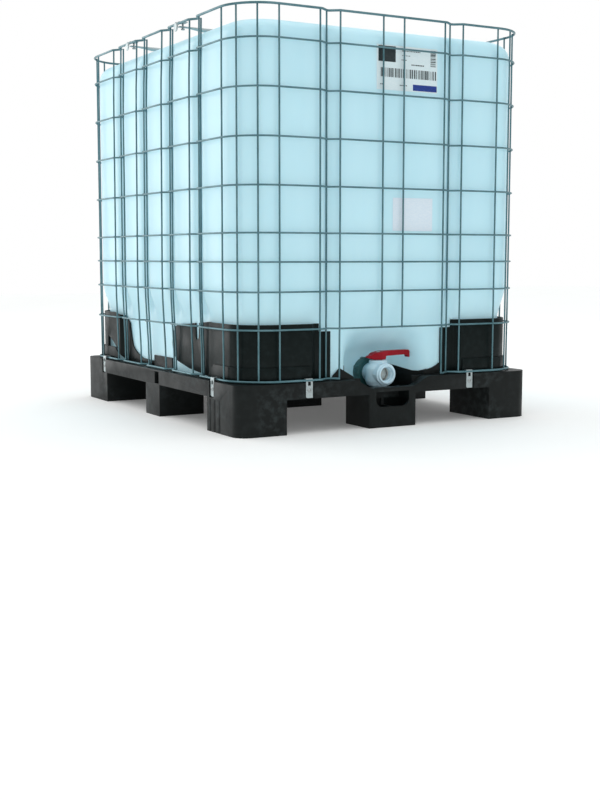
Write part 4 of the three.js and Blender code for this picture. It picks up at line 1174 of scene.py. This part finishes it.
def bottle_front(x, z):
    """The y of the bottle's front face."""
    return -FOOT_Y - swell(0, x, FOOT_X - TANK_CORNER, z) + recess_depth(x, z)


def sheet_on_front(bm, x0, x1, z0, z1, lift, thickness=0.0002, columns=12, rows=8):
    """A thin film that follows the bottle's front face."""
    def point(i, j, out):
        x, z = x0 + (x1 - x0) * i / columns, z0 + (z1 - z0) * j / rows
        return bm.verts.new((x, bottle_front(x, z) - out, z))

    def layer(out):
        return [[point(i, j, out) for i in range(columns + 1)] for j in range(rows + 1)]

    front, back = layer(lift + thickness), layer(lift)
    for j in range(rows):
        for i in range(columns):
            bm.faces.new((front[j][i], front[j][i + 1], front[j + 1][i + 1], front[j + 1][i]))
            bm.faces.new((back[j][i], back[j + 1][i], back[j + 1][i + 1], back[j][i + 1]))
    rim = [(0, i) for i in range(columns + 1)] + [(j, columns) for j in range(1, rows + 1)]
    rim += [(rows, i) for i in range(columns - 1, -1, -1)] + [(j, 0) for j in range(rows - 1, 0, -1)]
    for (j0, i0), (j1, i1) in zip(rim, rim[1:] + rim[:1]):
        bm.faces.new((front[j0][i0], back[j0][i0], back[j1][i1], front[j1][i1]))


def printed(bm, x0, x1, z0, z1):
    columns = max(1, int((x1 - x0) / 0.02))
    rows = max(1, int((z1 - z0) / 0.02))
    sheet_on_front(bm, x0, x1, z0, z1, 0.0006, 0.0001, columns, rows)


def build_labels(paper, ink, blue):
    rng = random.Random(7)
    low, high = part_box("contents_label")
    x0, x1, z0, z1 = low.x, high.x, low.z, high.z
    base = bmesh.new()
    sheet_on_front(base, x0, x1, z0, z1, 0.0002)
    place("contents_label_film", base, paper, angle=60, replaces=["contents_label"])
    black = bmesh.new()
    printed(black, x0 + 0.006, x0 + 0.064, z1 - 0.046, z1 - 0.003)
    x = x0 + 0.014
    while x < x1 - 0.006:
        width = rng.choice((0.0012, 0.0012, 0.0024, 0.0036))
        printed(black, x, min(x + width, x1 - 0.004), z0 + 0.036, z0 + 0.061)
        x += width + rng.choice((0.0014, 0.0024, 0.0036))
    z = z1 - 0.05
    while z < z1 - 0.003:
        height = rng.choice((0.001, 0.0016, 0.0026))
        printed(black, x1 - 0.024, x1 - 0.006, z, min(z + height, z1 - 0.002))
        z += height + rng.choice((0.0012, 0.0022))
    lines = ((0.086, 0.148, 0.0022), (0.086, 0.112, 0.0016), (0.084, 0.1, 0.002), (0.118, 0.162, 0.0034))
    for row, (start, end, height) in enumerate(lines):
        level = z1 - 0.014 - 0.0125 * row
        at = x0 + start
        while at < x0 + end:
            dash = rng.uniform(0.0022, 0.0052)
            printed(black, at, at + dash, level, level + height)
            at += dash + 0.0016
    for start, end in ((0.012, 0.024), (0.078, 0.1)):
        at = x0 + start
        while at < x0 + end:
            printed(black, at, at + 0.0035, z0 + 0.014, z0 + 0.0165)
            at += 0.0052
    place("contents_label_print", black, ink, angle=60)
    stripe = bmesh.new()
    printed(stripe, x0 + 0.123, x1 - 0.002, z0 + 0.003, z0 + 0.02)
    place("contents_label_stripe", stripe, blue, angle=60)

    low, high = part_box("blank_label")
    blank = bmesh.new()
    sheet_on_front(blank, low.x, high.x, low.z, high.z, 0.0002)
    frosted = film("frosted_film", (0.74, 0.86, 0.96), (0.8, 0.9, 0.98))
    place("blank_label_film", blank, frosted, angle=60, replaces=["blank_label"])


# ---- everything

camera()
studio()

polyethylene = bottle_material()
pallet_black = black_plastic("pallet_black", (0.005, 0.007, 0.0068), (0.055, 0.07, 0.072), 0.42, 420.0)
guard_black = black_plastic("guard_black", (0.004, 0.0082, 0.008), (0.045, 0.065, 0.068), 0.36, 260.0, 0.11)
cage_zinc = galvanised("cage_galvanised", (0.06, 0.155, 0.18), (0.13, 0.25, 0.285), 0.36, 0.5)
clip_zinc = galvanised("clip_zinc", (0.34, 0.4, 0.41), (0.48, 0.54, 0.55), 0.36, 0.75, 140.0)
bolt_steel = galvanised("bolt_steel", (0.36, 0.39, 0.4), (0.52, 0.55, 0.55), 0.34, 0.85, 200.0)
cap_black = black_plastic("cap_black", (0.006, 0.007, 0.0072), (0.06, 0.07, 0.075), 0.42, 500.0)
rubber = moulded("seal_rubber", (0.018, 0.018, 0.019), (0.03, 0.03, 0.032), 0.7)
seat_plastic = moulded("seat_plastic", (0.7, 0.7, 0.66), (0.76, 0.76, 0.72), 0.3)
valve_white = moulded("valve_white", (0.58, 0.8, 0.92), (0.66, 0.87, 0.96), 0.33, 0.15)
lever_red = moulded("lever_crimson", (0.27, 0.002, 0.009), (0.36, 0.003, 0.014), 0.42, specular=0.18)
nut_green = moulded("nut_dark_green", (0.022, 0.098, 0.098), (0.036, 0.13, 0.13), 0.45)
label_white = film("label_film", (0.72, 0.86, 0.9), (0.78, 0.9, 0.93))
label_ink = film("label_ink", (0.01, 0.022, 0.026), (0.02, 0.034, 0.038))
label_blue = film("label_blue", (0.008, 0.035, 0.24), (0.014, 0.055, 0.32))

build_pallet(pallet_black)
build_guards(guard_black)
build_bottle(polyethylene)
build_cage(cage_zinc)
build_clips(clip_zinc, bolt_steel)
build_tie_bars(clip_zinc, bolt_steel)
build_cap(cap_black, rubber)
build_valve(valve_white, lever_red, nut_green, seat_plastic, rubber, bolt_steel)
build_labels(label_white, label_ink, label_blue)
